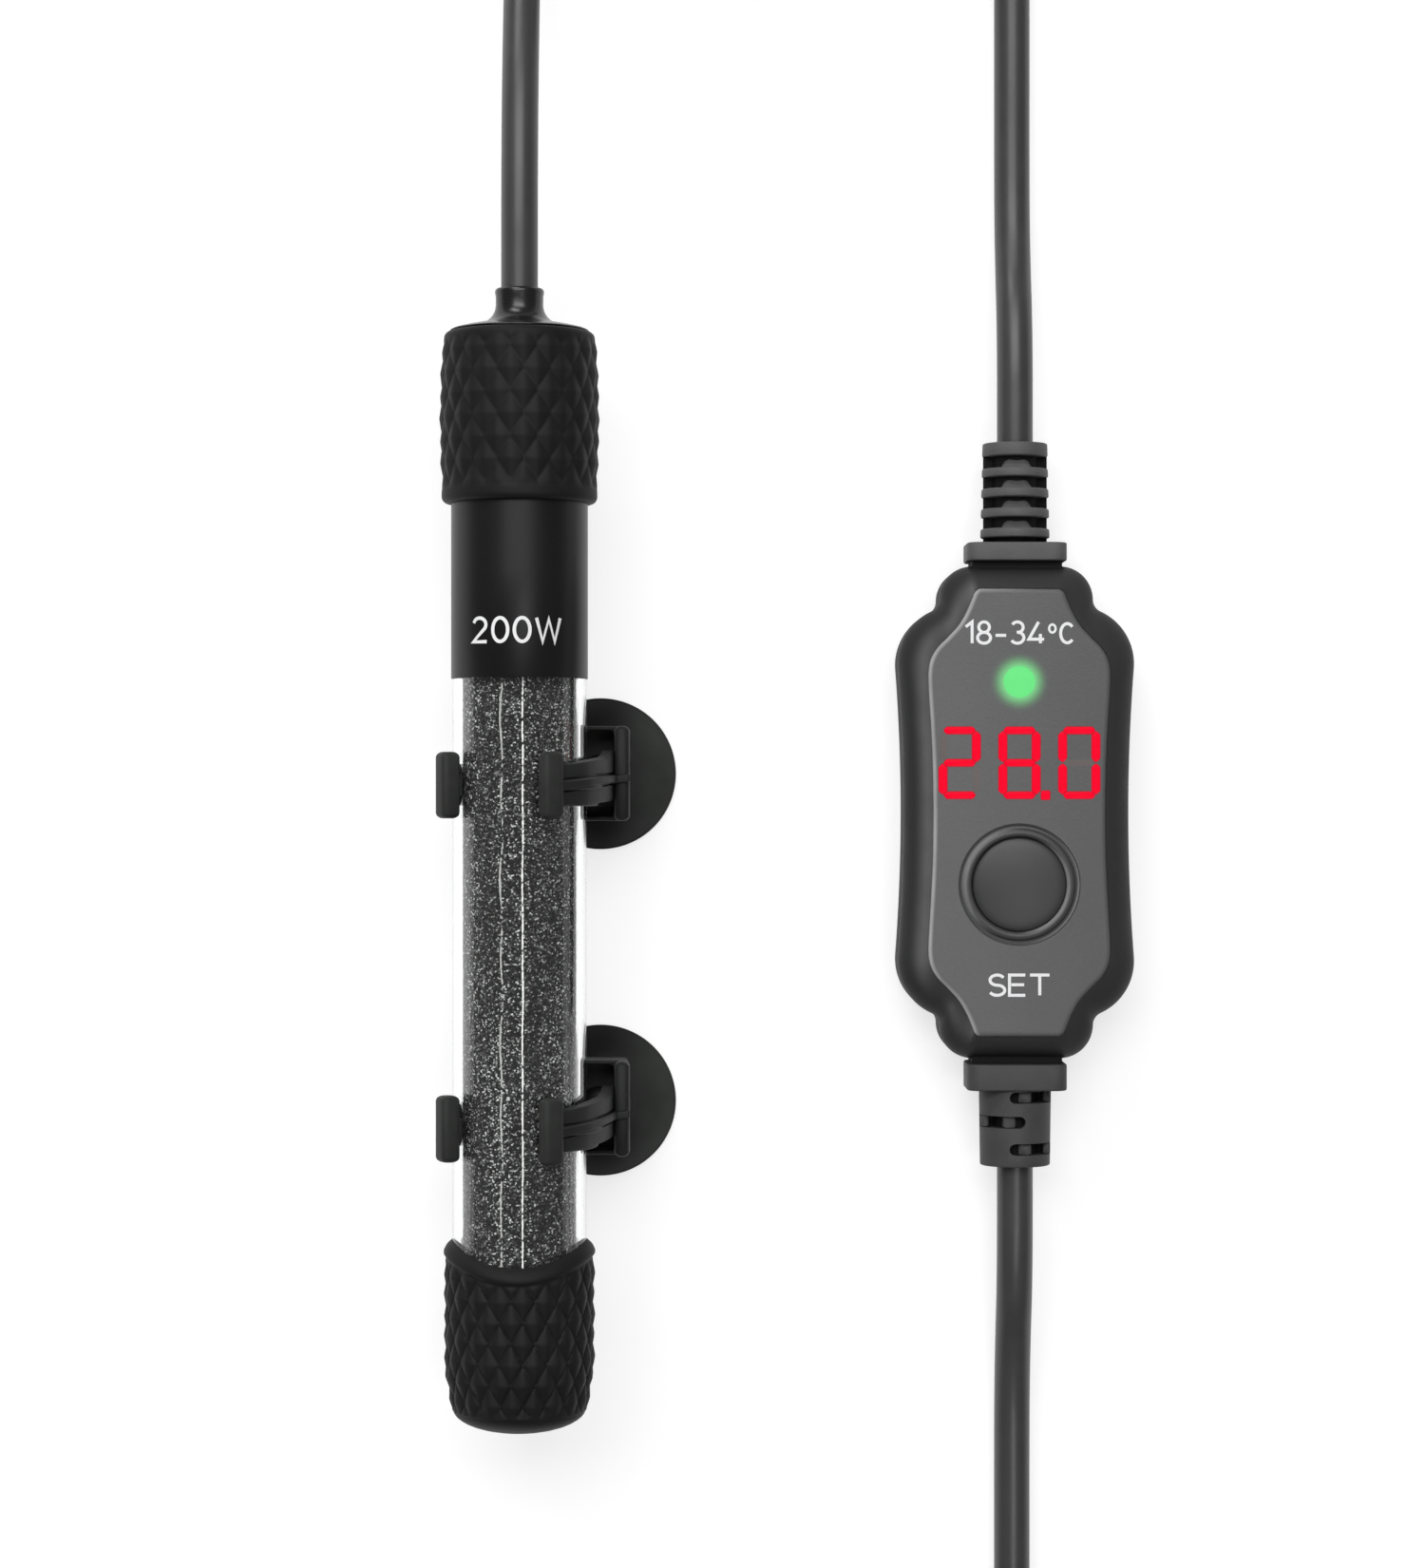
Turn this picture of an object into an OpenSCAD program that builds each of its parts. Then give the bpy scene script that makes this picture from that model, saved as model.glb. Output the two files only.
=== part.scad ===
// Submersible aquarium heater on two suction cups, with an in-line temperature controller.
// Millimetres. The set lies on a flat surface at z = 0. +Y runs from the heater's foot to its lead,
// +X from the heater to the controller, +Z up, away from the suction cups.
// The origin is on that surface, under the middle of the heater and the controller.

/* [Heater tube] */
// Outside diameter of the glass tube
tube_d = 25; // [23:0.5:27]
// Wall thickness of the glass
tube_wall = 1.5; // [1.2:0.1:1.8]
// Length of the heater, from the foot of its lower cap to the end of its neck
heater_len = 213; // [205:1:235]
// Height of the tube's axis above the surface that the suction cups hold
axis_z = 31; // [30:0.5:36]
// Length of the dark sleeve that shows below the upper cap
sleeve_show = 32.6; // [24:0.2:36]
// Thickness of the dark sleeve
sleeve_t = 0.2; // [0.1:0.05:0.3]

/* [Caps] */
// Length of the knurled upper cap
top_cap_len = 32; // [28:0.5:36]
// Rubber between the upper cap's bore and the bottom of its grooves
top_cap_wall = 1.5; // [1.3:0.1:2.5]
// Diamonds around the upper cap
top_diamonds = 18; // [14:1:24]
// Staggered rows of diamonds on the upper cap
top_rows = 7; // [5:1:9]
// Length of the lower cap up to the highest point of its rim
low_cap_len = 35.8; // [33:0.2:40]
// Rubber between the lower cap's bore and the bottom of its grooves
low_cap_wall = 0.95; // [0.8:0.05:2]
// Diamonds around the lower cap
low_diamonds = 19; // [14:1:24]
// Staggered rows of diamonds on the lower cap
low_rows = 6; // [4:1:8]
// Depth of the grooves between diamonds
knurl_depth = 0.7; // [0.3:0.05:0.9]
// Dip of the lower cap's rim at the front and the back
rim_scoop = 4; // [1:0.2:5]
// Height of the bevel along that rim
rim_bevel = 2; // [1:0.1:3]
// Height of the lower cap's domed foot
foot_dome = 4.3; // [3:0.1:5]
// Height of the boot above the upper cap
boot_h = 8.2; // [7.4:0.2:12]
// Rubber round the lead in the boot's neck
neck_wall = 1.2; // [0.8:0.1:2]

/* [Clips and suction cups] */
// Distance of the lower clip's band from the heater's foot
low_clip_at = 56.9; // [52:0.5:64]
// Distance of the upper clip's band below the dark sleeve
top_clip_at = 19.8; // [14:0.2:30]
// Thickness of a clip's jaws
jaw_t = 2.2; // [1.8:0.1:3]
// Width of a clip's band along the tube
band_w = 7.8; // [6:0.2:9]
// Length of the finger bars along the tube
bar_len = 12.3; // [10:0.1:15]
// Length of the hub block along the tube
hub_len = 18; // [16:0.5:22]
// Sideways distance of a suction cup's axis from the tube's axis
cup_side = 14.2; // [13.6:0.1:15]
// Radius of a suction cup's rim
cup_r = 14.7; // [13:0.1:16]

/* [Controller] */
// Distance of the controller's axis from the heater's axis
axis_gap = 94; // [86:1:110]
// Length of the controller's case
case_len = 94; // [92:1:98]
// Width of the controller's case at its widest
case_w = 45.2; // [44.4:0.2:47]
// Height of the controller's face above its back
case_h = 22; // [21.6:0.2:25]
// Half the width of the case's narrower ends
end_half_w = 14.7; // [14:0.1:15.4]
// Inset of each flank at the waist
waist_dip = 1.1; // [0.6:0.1:1.4]
// Travel of the button
button_travel = 0.6; // [0.3:0.1:0.8]
// Radius of the button
button_r = 8.86; // [7:0.02:9.4]
// Height of a display digit
digit_h = 13.5; // [10:0.1:14]
// Width of a display digit
digit_w = 7.8; // [6:0.1:8.4]

/* [Leads and plug] */
// Diameter of both leads
cord_d = 6.9; // [6:0.1:7.4]
// Gap between neighbouring turns of a wound lead
turn_gap = 0.5; // [0.45:0.05:1]
// Diameter of the plug's pins
pin_d = 4; // [3.8:0.1:4.8]
// Length of the plug's pins
pin_len = 19; // [17:0.5:20]
// Distance between the plug's pins
pin_gap = 18.6; // [17:0.1:19.2]

/* [Hidden] */
$fn = 64;
fit = 0.05;        // gap between pieces that are fixed to each other
slide_fit = 0.1;   // gap between a clip and the glass, and round the button
swivel_fit = 0.05; // gap round a suction cup's stem

tube_r = tube_d / 2;
tube_ri = tube_r - tube_wall;
sleeve_r = tube_r + fit + sleeve_t;
cord_r = cord_d / 2;
cord_bore_r = cord_r + fit;

// Places along the heater, from the foot of the lower cap
tube_low = 13;
boot_base = heater_len - boot_h;
top_cap_low = boot_base - top_cap_len;
sleeve_low = top_cap_low - sleeve_show;
roof_t = 5;
tube_top = boot_base - roof_t - 1.8;
stopper_low = tube_top - 12;
top_clip_h = sleeve_low - top_clip_at;
disc_low = sleeve_low + 10;
base_top = tube_low + tube_wall + 3;

top_bore_r = sleeve_r + fit;
top_groove_r = top_bore_r + top_cap_wall;
low_groove_r = tube_r + fit + low_cap_wall;

// Heater and controller are centred together on the origin
clip_ri = tube_r + slide_fit;
clip_ro = clip_ri + jaw_t;
bar_t = 3.2;
bar_w = 3.8;
bar_mid = clip_ri + 0.1 + bar_t / 2;
right_jaw = 66;
left_jaw = 155;
bar_round = 1.2;
rib_t = 0.8;
left_reach = max(top_groove_r + knurl_depth, clip_ro + rib_t);
heater_x = -(left_reach + axis_gap + case_w / 2) / 2 + left_reach;
controller_x = heater_x + axis_gap;
controller_y = 8.7;

// Controller heights
part_z = case_h / 2;
panel_t = 2;
panel_z = case_h - panel_t;
panel_inset = 5;
back_t = 2;
board_z = 9;
board_top = board_z + 1.6;
module_top = panel_z - 2.6;
button_y = -13.6;
light_y = 24.7;
light_r = 2.9;
digits_y = 9.4;
stroke = 1.55;
ring_r = 11.5;

// Controller's inside: steps of the front shell's hollow, and the display between its walls
wall_t = 2.2;
ledge_in = 4.2;
rim_in = 6;
display_half_w = case_w / 2 - waist_dip - ledge_in - 0.4;
digit_pitch = display_half_w - 5.6;

// Points on an arc from angle a0 to a1, in n steps
function arc(c, r, a0, a1, n) = [for (i = [0:n]) c + r * [cos(a0 + (a1 - a0) * i / n), sin(a0 + (a1 - a0) * i / n)]];
function tail(list) = [for (i = [1:len(list) - 1]) list[i]];
function backwards(list) = [for (i = [len(list) - 1:-1:0]) list[i]];
function unit(v) = v / norm(v);
function smooth(u) = u <= 0 ? 0 : u >= 1 ? 1 : u * u * (3 - 2 * u);

// Faces of a stack of m rings with n points each. Diagonals alternate, so that staggered crests stay crisp.
function stack_faces(n, m) = concat(
    [[for (k = [0:n - 1]) k]],
    [for (j = [0:m - 2], k = [0:n - 1])
        let (a = j * n + k, b = j * n + (k + 1) % n, c = a + n, d = b + n)
        each ((j + k) % 2 == 0 ? [[a, c, b], [b, c, d]] : [[a, c, d], [a, d, b]])],
    [[for (k = [n - 1:-1:0]) (m - 1) * n + k]]
);

module stack(rings) {
    polyhedron(points = [for (ring = rings) each ring], faces = stack_faces(len(rings[0]), len(rings)), convexity = 6);
}

// Heater frame: local z runs along the tube from its foot, local -y is the heater's front
module along_heater() {
    translate([heater_x, -heater_len / 2, axis_z])
        rotate([-90, 0, 0])
            children();
}

module at_controller() {
    translate([controller_x, controller_y, 0])
        children();
}

// Ring of a cap: plain, or with crests at every second point
function plain_ring(n, r, h) = [for (k = [0:2 * n - 1]) let (a = 270 + k * 180 / n) [r * cos(a), r * sin(a), h]];
function crest_ring(n, r, h, odd) = [for (k = [0:2 * n - 1])
    let (a = 270 + k * 180 / n, rr = r + ((k + odd) % 2 == 0 ? knurl_depth : 0)) [rr * cos(a), rr * sin(a), h]];
// Ring that follows the scooped rim
function rim_ring(n, r, low) = [for (k = [0:2 * n - 1])
    let (a = 270 + k * 180 / n) [r * cos(a), r * sin(a), low + rim_scoop * cos(a) * cos(a)]];

// Upper cap: barrel-shaped, with a plain band at each end
top_plain_low = 3.3;
top_plain_high = 3.7;
top_row_h = (top_cap_len - top_plain_low - top_plain_high) / (top_rows - 1);
function top_barrel(u) = top_groove_r - 0.5 * (2 * u - 1) * (2 * u - 1);
top_rings = concat(
    [plain_ring(top_diamonds, top_groove_r - 1.1, 0),
     plain_ring(top_diamonds, top_groove_r - 0.1, 0.8),
     plain_ring(top_diamonds, top_groove_r + 0.2, 1.6)],
    [for (i = [0:top_rows - 1])
        crest_ring(top_diamonds, top_barrel(i / (top_rows - 1)), top_plain_low + i * top_row_h, i + 3)],
    [plain_ring(top_diamonds, top_groove_r - 0.2, top_cap_len - 1.4),
     plain_ring(top_diamonds, top_groove_r - 0.35, top_cap_len - 0.5),
     plain_ring(top_diamonds, top_groove_r - 0.8, top_cap_len)]
);

// Lower cap: domed foot, taper, diamonds and a scooped rim with a bevel
rim_low = low_cap_len - rim_scoop - rim_bevel;
low_row_first = foot_dome + 2;
low_row_h = (rim_low - 4.2 - low_row_first) / (low_rows - 1);
foot_r = low_groove_r - 1.1;
function low_taper(h) = foot_r + (low_groove_r - foot_r) * smooth((h - foot_dome) / (tube_low - foot_dome));
low_rings = concat(
    [for (a = [16, 34, 52, 70, 84]) plain_ring(low_diamonds, foot_r * sin(a), foot_dome * (1 - cos(a) / cos(16)))],
    [plain_ring(low_diamonds, foot_r + 0.1, foot_dome + 0.3)],
    [for (i = [0:low_rows - 1])
        let (h = low_row_first + i * low_row_h) crest_ring(low_diamonds, low_taper(h), h, i)],
    [plain_ring(low_diamonds, low_groove_r, rim_low - 1.2),
     rim_ring(low_diamonds, low_groove_r + 0.25, rim_low - 0.9),
     rim_ring(low_diamonds, low_groove_r + knurl_depth, rim_low - 0.4),
     rim_ring(low_diamonds, low_groove_r + knurl_depth, rim_low),
     rim_ring(low_diamonds, tube_r, rim_low + rim_bevel),
     plain_ring(low_diamonds, tube_r - 2, low_cap_len + 0.5)]
);

module glass_tube() {
    color([0.85, 0.9, 0.9, 0.35])
        along_heater()
            rotate_extrude()
                polygon(concat(
                    [[0, tube_low]],
                    arc([tube_r - 3, tube_low + 3], 3, -90, 0, 6),
                    [[tube_r, tube_top], [tube_ri, tube_top]],
                    arc([tube_ri - 1.5, tube_low + tube_wall + 1.5], 1.5, 0, -90, 6),
                    [[0, tube_low + tube_wall]]
                ));
}

module tube_sleeve() {
    color([0.05, 0.05, 0.05])
        along_heater()
            translate([0, 0, sleeve_low])
                difference() {
                    cylinder(r = sleeve_r, h = tube_top - sleeve_low, $fn = 96);
                    translate([0, 0, -1])
                        cylinder(r = tube_r + fit, h = tube_top - sleeve_low + 2, $fn = 96);
                }
}

seal_r = 0.4;
seal_at = top_cap_low + 6;
plug_r = 8;
module top_cap() {
    color([0.13, 0.13, 0.13])
        along_heater()
            difference() {
                translate([0, 0, top_cap_low])
                    stack(top_rings);
                translate([0, 0, top_cap_low - 1])
                    cylinder(r = top_bore_r, h = boot_base - roof_t - top_cap_low + 1, $fn = 96);
                translate([0, 0, seal_at - seal_r - fit])
                    cylinder(r = top_bore_r + 2 * seal_r, h = 2 * seal_r + 2 * fit, $fn = 96);
                translate([0, 0, boot_base - roof_t - 1])
                    cylinder(r = plug_r + fit, h = roof_t + 2, $fn = 72);
            }
}

module tube_seal() {
    color([0.5, 0.2, 0.15])
        along_heater()
            translate([0, 0, seal_at])
                rotate_extrude()
                    translate([sleeve_r + fit / 2 + seal_r, 0])
                        circle(r = seal_r, $fn = 24);
}

boot_low = tube_top + fit;
neck_r = cord_bore_r + neck_wall;
neck_fillet = 2.6;
boot_skirt_r = top_groove_r - 1.2;
module cord_boot() {
    color([0.08, 0.08, 0.08])
        along_heater()
            rotate_extrude()
                polygon(concat(
                    [[cord_bore_r, boot_low], [tube_ri, boot_low], [tube_ri, boot_base - roof_t - fit],
                     [plug_r, boot_base - roof_t - fit], [plug_r, boot_base + fit],
                     [boot_skirt_r, boot_base + fit], [boot_skirt_r - 0.2, boot_base + 0.5]],
                    arc([neck_r + neck_fillet, boot_base + 1.6 + neck_fillet], neck_fillet, 270, 180, 6),
                    [[neck_r, heater_len - 0.7], [neck_r - 0.2, heater_len - 0.2], [neck_r - 0.7, heater_len],
                     [cord_bore_r, heater_len]]
                ));
}

wire_side = 4;
module stopper() {
    color([0.75, 0.73, 0.68])
        along_heater()
            difference() {
                translate([0, 0, stopper_low])
                    cylinder(r = tube_ri - fit, h = tube_top - stopper_low);
                for (side = [-1, 1])
                    translate([side * wire_side / 2, 0, stopper_low - 1])
                        cylinder(r = 0.85, h = tube_top - stopper_low + 2, $fn = 24);
            }
}

module bottom_cap() {
    color([0.11, 0.11, 0.11])
        along_heater()
            difference() {
                stack(low_rings);
                translate([0, 0, tube_low])
                    cylinder(r = tube_r + fit, h = low_cap_len, $fn = 96);
                translate([0, 0, tube_low - 5])
                    cylinder(r = tube_r - 3 + fit, h = 6, $fn = 72);
            }
}

module foot_pad() {
    color([0.8, 0.8, 0.78])
        along_heater()
            translate([0, 0, tube_low - 5 + fit])
                cylinder(r = tube_r - 3, h = 5 - 2 * fit, $fn = 72);
}

// Wires in front of the sand, at these distances from the middle line as seen from the front
sand_r = tube_ri - 0.4;
sand_hole_r = 4.9;
wire_r = 0.25;
wire_places = [-2.66, 1.06];
function wire_depth(x) = -sqrt((sand_r - wire_r) * (sand_r - wire_r) - x * x);
module quartz_sand() {
    color([0.22, 0.22, 0.22])
        along_heater()
            difference() {
                translate([0, 0, base_top])
                    cylinder(r = sand_r, h = disc_low - base_top);
                translate([0, 0, base_top - 1])
                    cylinder(r = sand_hole_r, h = disc_low - base_top + 2);
                for (x = wire_places)
                    translate([x, wire_depth(x), base_top - 1])
                        cylinder(r = wire_r + 0.05, h = disc_low - base_top + 2, $fn = 16);
            }
}

module wire_in_front(x) {
    along_heater()
        translate([x, wire_depth(x), base_top])
            cylinder(r = wire_r, h = stopper_low - base_top, $fn = 16);
}

module return_wire() {
    color([0.85, 0.83, 0.78])
        wire_in_front(wire_places[0]);
}

module sensor_wire() {
    color([0.9, 0.88, 0.82])
        wire_in_front(wire_places[1]);
}

former_r = 3.4;
module ceramic_former() {
    color([0.88, 0.86, 0.8])
        along_heater()
            translate([0, 0, base_top])
                cylinder(r = former_r, h = disc_low - base_top);
}

// Heating wire wound round the former
coil_wire_r = 0.4;
coil_turns = 18;
coil_r = (former_r + sand_hole_r) / 2;
coil_low = base_top + coil_wire_r + 0.2;
coil_high = disc_low - coil_wire_r - 0.2;
heating_path = [for (i = [0:coil_turns * 10])
    let (a = i * 36, h = coil_low + (coil_high - coil_low) * i / (coil_turns * 10)) [coil_r * cos(a), coil_r * sin(a), h]];
module heating_coil() {
    color([0.7, 0.45, 0.3])
        along_heater()
            swept(heating_path, coil_wire_r, 6);
}

module base_disc() {
    color([0.85, 0.83, 0.78])
        along_heater()
            translate([0, 0, tube_low + tube_wall])
                cylinder(r = tube_ri - 1.6, h = base_top - tube_low - tube_wall);
}

disc_t = 3;
disc_top = disc_low + disc_t;
module retaining_disc() {
    color([0.85, 0.83, 0.78])
        along_heater()
            difference() {
                translate([0, 0, disc_low])
                    cylinder(r = tube_ri - fit, h = disc_t);
                for (x = wire_places)
                    translate([x, -sqrt(tube_ri * tube_ri - x * x), disc_low - 1])
                        cylinder(r = 1.1, h = disc_t + 2, $fn = 24);
            }
}

fuse_len = 10;
module thermal_fuse() {
    color([0.75, 0.7, 0.55])
        along_heater()
            translate([-wire_side / 2, 0, disc_top])
                cylinder(r = 1.8, h = fuse_len, $fn = 32);
}

module thermal_sensor() {
    color([0.2, 0.25, 0.2])
        along_heater()
            translate([0, 5, disc_top]) {
                cylinder(r = 1.3, h = 4, $fn = 32);
                translate([0, 0, 4])
                    sphere(r = 1.3, $fn = 24);
            }
}

// One wire from the fuse and one from the former's end, up through the stopper
module element_wires() {
    color([0.75, 0.3, 0.2])
        along_heater() {
            translate([-wire_side / 2, 0, disc_top + fuse_len])
                cylinder(r = 0.8, h = tube_top - disc_top - fuse_len, $fn = 24);
            translate([wire_side / 2, 0, disc_top])
                cylinder(r = 0.8, h = tube_top - disc_top, $fn = 24);
        }
}

// Clip drawn across the tube: x sideways, y up from the surface, tube's axis at the origin
hub_t = 2.3;
hub_low = 8 - axis_z;
hub_high = hub_low + 9.5;
hub_half_w = 6.1;
cup_ahead = 2.2;
hub_plate_t = 2.5;
stem_r = 2.5;

module rounded_rect(w, h, r) {
    square([w - 2 * r, h], center = true);
    square([w, h - 2 * r], center = true);
    for (x = [-1, 1], y = [-1, 1])
        translate([x * (w / 2 - r), y * (h / 2 - r)])
            circle(r = r, $fn = 32);
}

module jaws_2d(r_in, r_out) {
    difference() {
        circle(r = r_out, $fn = 96);
        circle(r = r_in, $fn = 96);
        polygon([[0, 0], 40 * [cos(right_jaw), sin(right_jaw)], 60 * [cos(110), sin(110)],
                 40 * [cos(left_jaw), sin(left_jaw)]]);
    }
}

module finger_bars_2d() {
    for (a = [right_jaw, left_jaw])
        rotate(a)
            translate([bar_mid, 0])
                rounded_rect(bar_t, bar_w, bar_round);
}

// Arm from the right jaw down to the hub's outer wall
module arm_2d(out) {
    right = cup_side + hub_half_w;
    polygon([[clip_ro * cos(24) + out, clip_ro * sin(24)], [right + out, hub_high + 5], [right + out, hub_high - 4],
             [right - hub_t, hub_high - 4], [right - hub_t, hub_high + 3.6], [clip_ri * cos(8), clip_ri * sin(8)]]);
}

module clip(at) {
    translate([heater_x, at - heater_len / 2, axis_z])
        rotate([90, 0, 0])
            difference() {
                union() {
                    linear_extrude(band_w, center = true) {
                        jaws_2d(clip_ri, clip_ro);
                        arm_2d(0);
                        translate([cup_side - hub_half_w, hub_high - 1])
                            square([hub_t, -hub_high - 10]);
                    }
                    linear_extrude(band_w * 0.3, center = true) {
                        jaws_2d(clip_ro - 0.5, clip_ro + rib_t);
                        arm_2d(rib_t);
                    }
                    linear_extrude(bar_len, center = true)
                        finger_bars_2d();
                    translate([0, 0, -cup_ahead])
                        linear_extrude(hub_len, center = true)
                            translate([cup_side, (hub_low + hub_high) / 2])
                                rounded_rect(2 * hub_half_w, hub_high - hub_low, 1.6);
                }
                cylinder(r = clip_ri, h = 40, center = true, $fn = 96);
                translate([cup_side, hub_low + hub_plate_t, -cup_ahead]) {
                    translate([-hub_half_w + hub_t, 0, -hub_len / 2 + 1.8])
                        cube([2 * hub_half_w - 2 * hub_t, 8, hub_len - 3.6]);
                    rotate([-90, 0, 0])
                        cylinder(r = stem_r + swivel_fit, h = 20, center = true);
                }
            }
}

module upper_clip() {
    color([0.15, 0.16, 0.15])
        clip(top_clip_h);
}

module lower_clip() {
    color([0.15, 0.16, 0.15])
        clip(low_clip_at);
}

// Suction cup on its stem, turned about its own axis
cup_hub_r = 6.2;
cup_top = 8 - 0.1;
head_low = 8 + hub_plate_t + 0.1;
function cup_skin(out) = 0.9 + (cup_top - 2.4) * (1 - pow(out, 1.6));
module suction_cup(at) {
    hollow_r = cup_r - 1.8;
    translate([heater_x + cup_side, at + cup_ahead - heater_len / 2, 0])
        rotate_extrude()
            polygon(concat(
                [[cup_r, 0]],
                [for (i = [7:-1:0]) [cup_hub_r + (cup_r - cup_hub_r) * i / 7, cup_skin(i / 7)]],
                [[cup_hub_r, cup_top], [stem_r, cup_top], [stem_r, head_low], [stem_r + 1.1, head_low],
                 [stem_r + 1.1, head_low + 1], [stem_r, head_low + 2], [0, head_low + 2]],
                [for (i = [0:6]) let (r = hollow_r * i / 6) [r, 3.4 * (1 - r * r / hollow_r / hollow_r)]]
            ));
}

module upper_suction_cup() {
    color([0.12, 0.13, 0.12])
        suction_cup(top_clip_h);
}

module lower_suction_cup() {
    color([0.12, 0.13, 0.12])
        suction_cup(low_clip_at);
}

// Outline of the controller's case, set in by t: concave flanks, wide shoulders, narrower ends
corner_r = 11;
end_corner_r = 6.3;
shoulder_y = case_len / 2 - 18.6;
shoulder = [case_w / 2 - corner_r, shoulder_y];
end_corner = [end_half_w - end_corner_r, case_len / 2 - end_corner_r];
end_off = [end_half_w - shoulder.x, end_corner.y - shoulder.y];
end_fillet_r = (end_off * end_off - corner_r * corner_r) / (2 * (corner_r - end_off.x));
end_fillet = [end_half_w + end_fillet_r, end_corner.y];
fillet_turn = atan2(end_fillet.y - shoulder.y, end_fillet.x - shoulder.x);
waist_off = [case_w / 2 - waist_dip - shoulder.x, shoulder_y];
waist_r = (waist_off * waist_off - corner_r * corner_r) / (2 * (corner_r - waist_off.x));
waist = [case_w / 2 - waist_dip + waist_r, 0];
waist_turn = atan2(shoulder.y, waist.x - shoulder.x);
function quarter_outline(t) = concat(
    tail(arc(waist, waist_r + t, 180, 180 - waist_turn, 3)),
    tail(arc(shoulder, corner_r - t, -waist_turn, fillet_turn, 7)),
    tail(arc(end_fillet, end_fillet_r + t, 180 + fillet_turn, 180, 4)),
    tail(arc(end_corner, end_corner_r - t, 0, 90, 5))
);
function case_outline(t) = let (q = quarter_outline(t), m = waist.x - waist_r - t) concat(
    [[m, 0]], q, backwards([for (p = q) [-p.x, p.y]]), [[-m, 0]], [for (p = q) -p],
    backwards([for (p = q) [p.x, -p.y]])
);
function case_rings(sections) = [for (s = sections) [for (p = case_outline(s[1])) [p.x, p.y, s[0]]]];

screw_x = case_w / 2 - 6.2;
screw_y = shoulder_y - 1.4;
screw_places = [for (x = [-1, 1], y = [-1, 1]) [x * screw_x, y * screw_y]];
screw_r = 1.25;
screw_bite = 3.5;
head_r = 2.4;
head_t = 1.8;
head_sunk = 1.2;
drive_w = 0.6;
drive_len = 4;
boss_r = 2.8;
boss_h = 7;
relief_half_w = 9.55;
neck_half_w = 8.6;
neck_half_h = 5.6;
flange_half_w = 10;
flange_half_h = 6.6;
flange_t = 2.2;
wall_end = case_len / 2 - wall_t;

// Way for a strain relief through both ends of the case
module relief_ways() {
    for (turn = [0, 180])
        rotate(turn) {
            translate([-neck_half_w - fit, wall_end - 1, part_z - neck_half_h - fit])
                cube([2 * neck_half_w + 2 * fit, 8, 2 * neck_half_h + 2 * fit]);
            translate([-flange_half_w - fit, wall_end - flange_t - 2 * fit, part_z - flange_half_h - fit])
                cube([2 * flange_half_w + 2 * fit, flange_t + 2 * fit, 2 * flange_half_h + 2 * fit]);
        }
}

// Seal between the shells, left open where the leads come out
gasket_in = 0.8;
gasket_w = 0.9;
gasket_h = 0.8;
module gasket_2d(grow) {
    difference() {
        polygon(case_outline(gasket_in - grow));
        polygon(case_outline(gasket_in + gasket_w + grow));
        square([2 * neck_half_w + 1 - grow, case_len + 4], center = true);
    }
}

module case_gasket() {
    color([0.3, 0.3, 0.3])
        at_controller()
            translate([0, 0, part_z - gasket_h / 2])
                linear_extrude(gasket_h)
                    gasket_2d(0);
}

// Slab that trims a shell flat, from z0 to z1
module trim(z0, z1) {
    translate([-case_w, -case_len, z0])
        cube([2 * case_w, 2 * case_len, z1 - z0]);
}

bevel_z = part_z + 2;
bevel_h = panel_z + 1.4 - bevel_z;
bevel_sections = [for (a = [18, 34, 50, 66, 80]) [bevel_z + bevel_h * sin(a), (panel_inset - 0.8) * (1 - cos(a))]];
face_edge = [panel_z + 1.6, panel_inset - 0.5];
front_sections = concat(
    [[part_z - 2, 0], [bevel_z, 0]],
    bevel_sections,
    [face_edge + 0.5 * (face_edge - bevel_sections[4])]
);
module case_front() {
    color([0.16, 0.16, 0.17])
        at_controller()
            difference() {
                union() {
                    difference() {
                        stack(case_rings(front_sections));
                        trim(part_z - 4, part_z + fit);
                        trim(face_edge[0], case_h + 4);
                        translate([0, 0, part_z - 1])
                            linear_extrude(4)
                                polygon(case_outline(wall_t));
                        translate([0, 0, part_z - 1])
                            linear_extrude(module_top + 2 * fit - part_z + 1)
                                polygon(case_outline(ledge_in));
                        translate([0, 0, part_z - 1])
                            linear_extrude(case_h)
                                polygon(case_outline(rim_in));
                    }
                    for (p = screw_places)
                        translate([p.x, p.y, part_z + fit])
                            cylinder(r = boss_r, h = boss_h, $fn = 32);
                }
                translate([0, 0, panel_z])
                    linear_extrude(panel_t + 1)
                        polygon(case_outline(panel_inset - fit));
                translate([0, 0, part_z - gasket_h / 2 - fit])
                    linear_extrude(gasket_h + 2 * fit)
                        gasket_2d(fit);
                relief_ways();
                for (p = screw_places)
                    translate([p.x, p.y, part_z - 1])
                        cylinder(r = screw_r + fit, h = head_sunk + screw_bite + 2.3, $fn = 24);
            }
}

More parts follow.
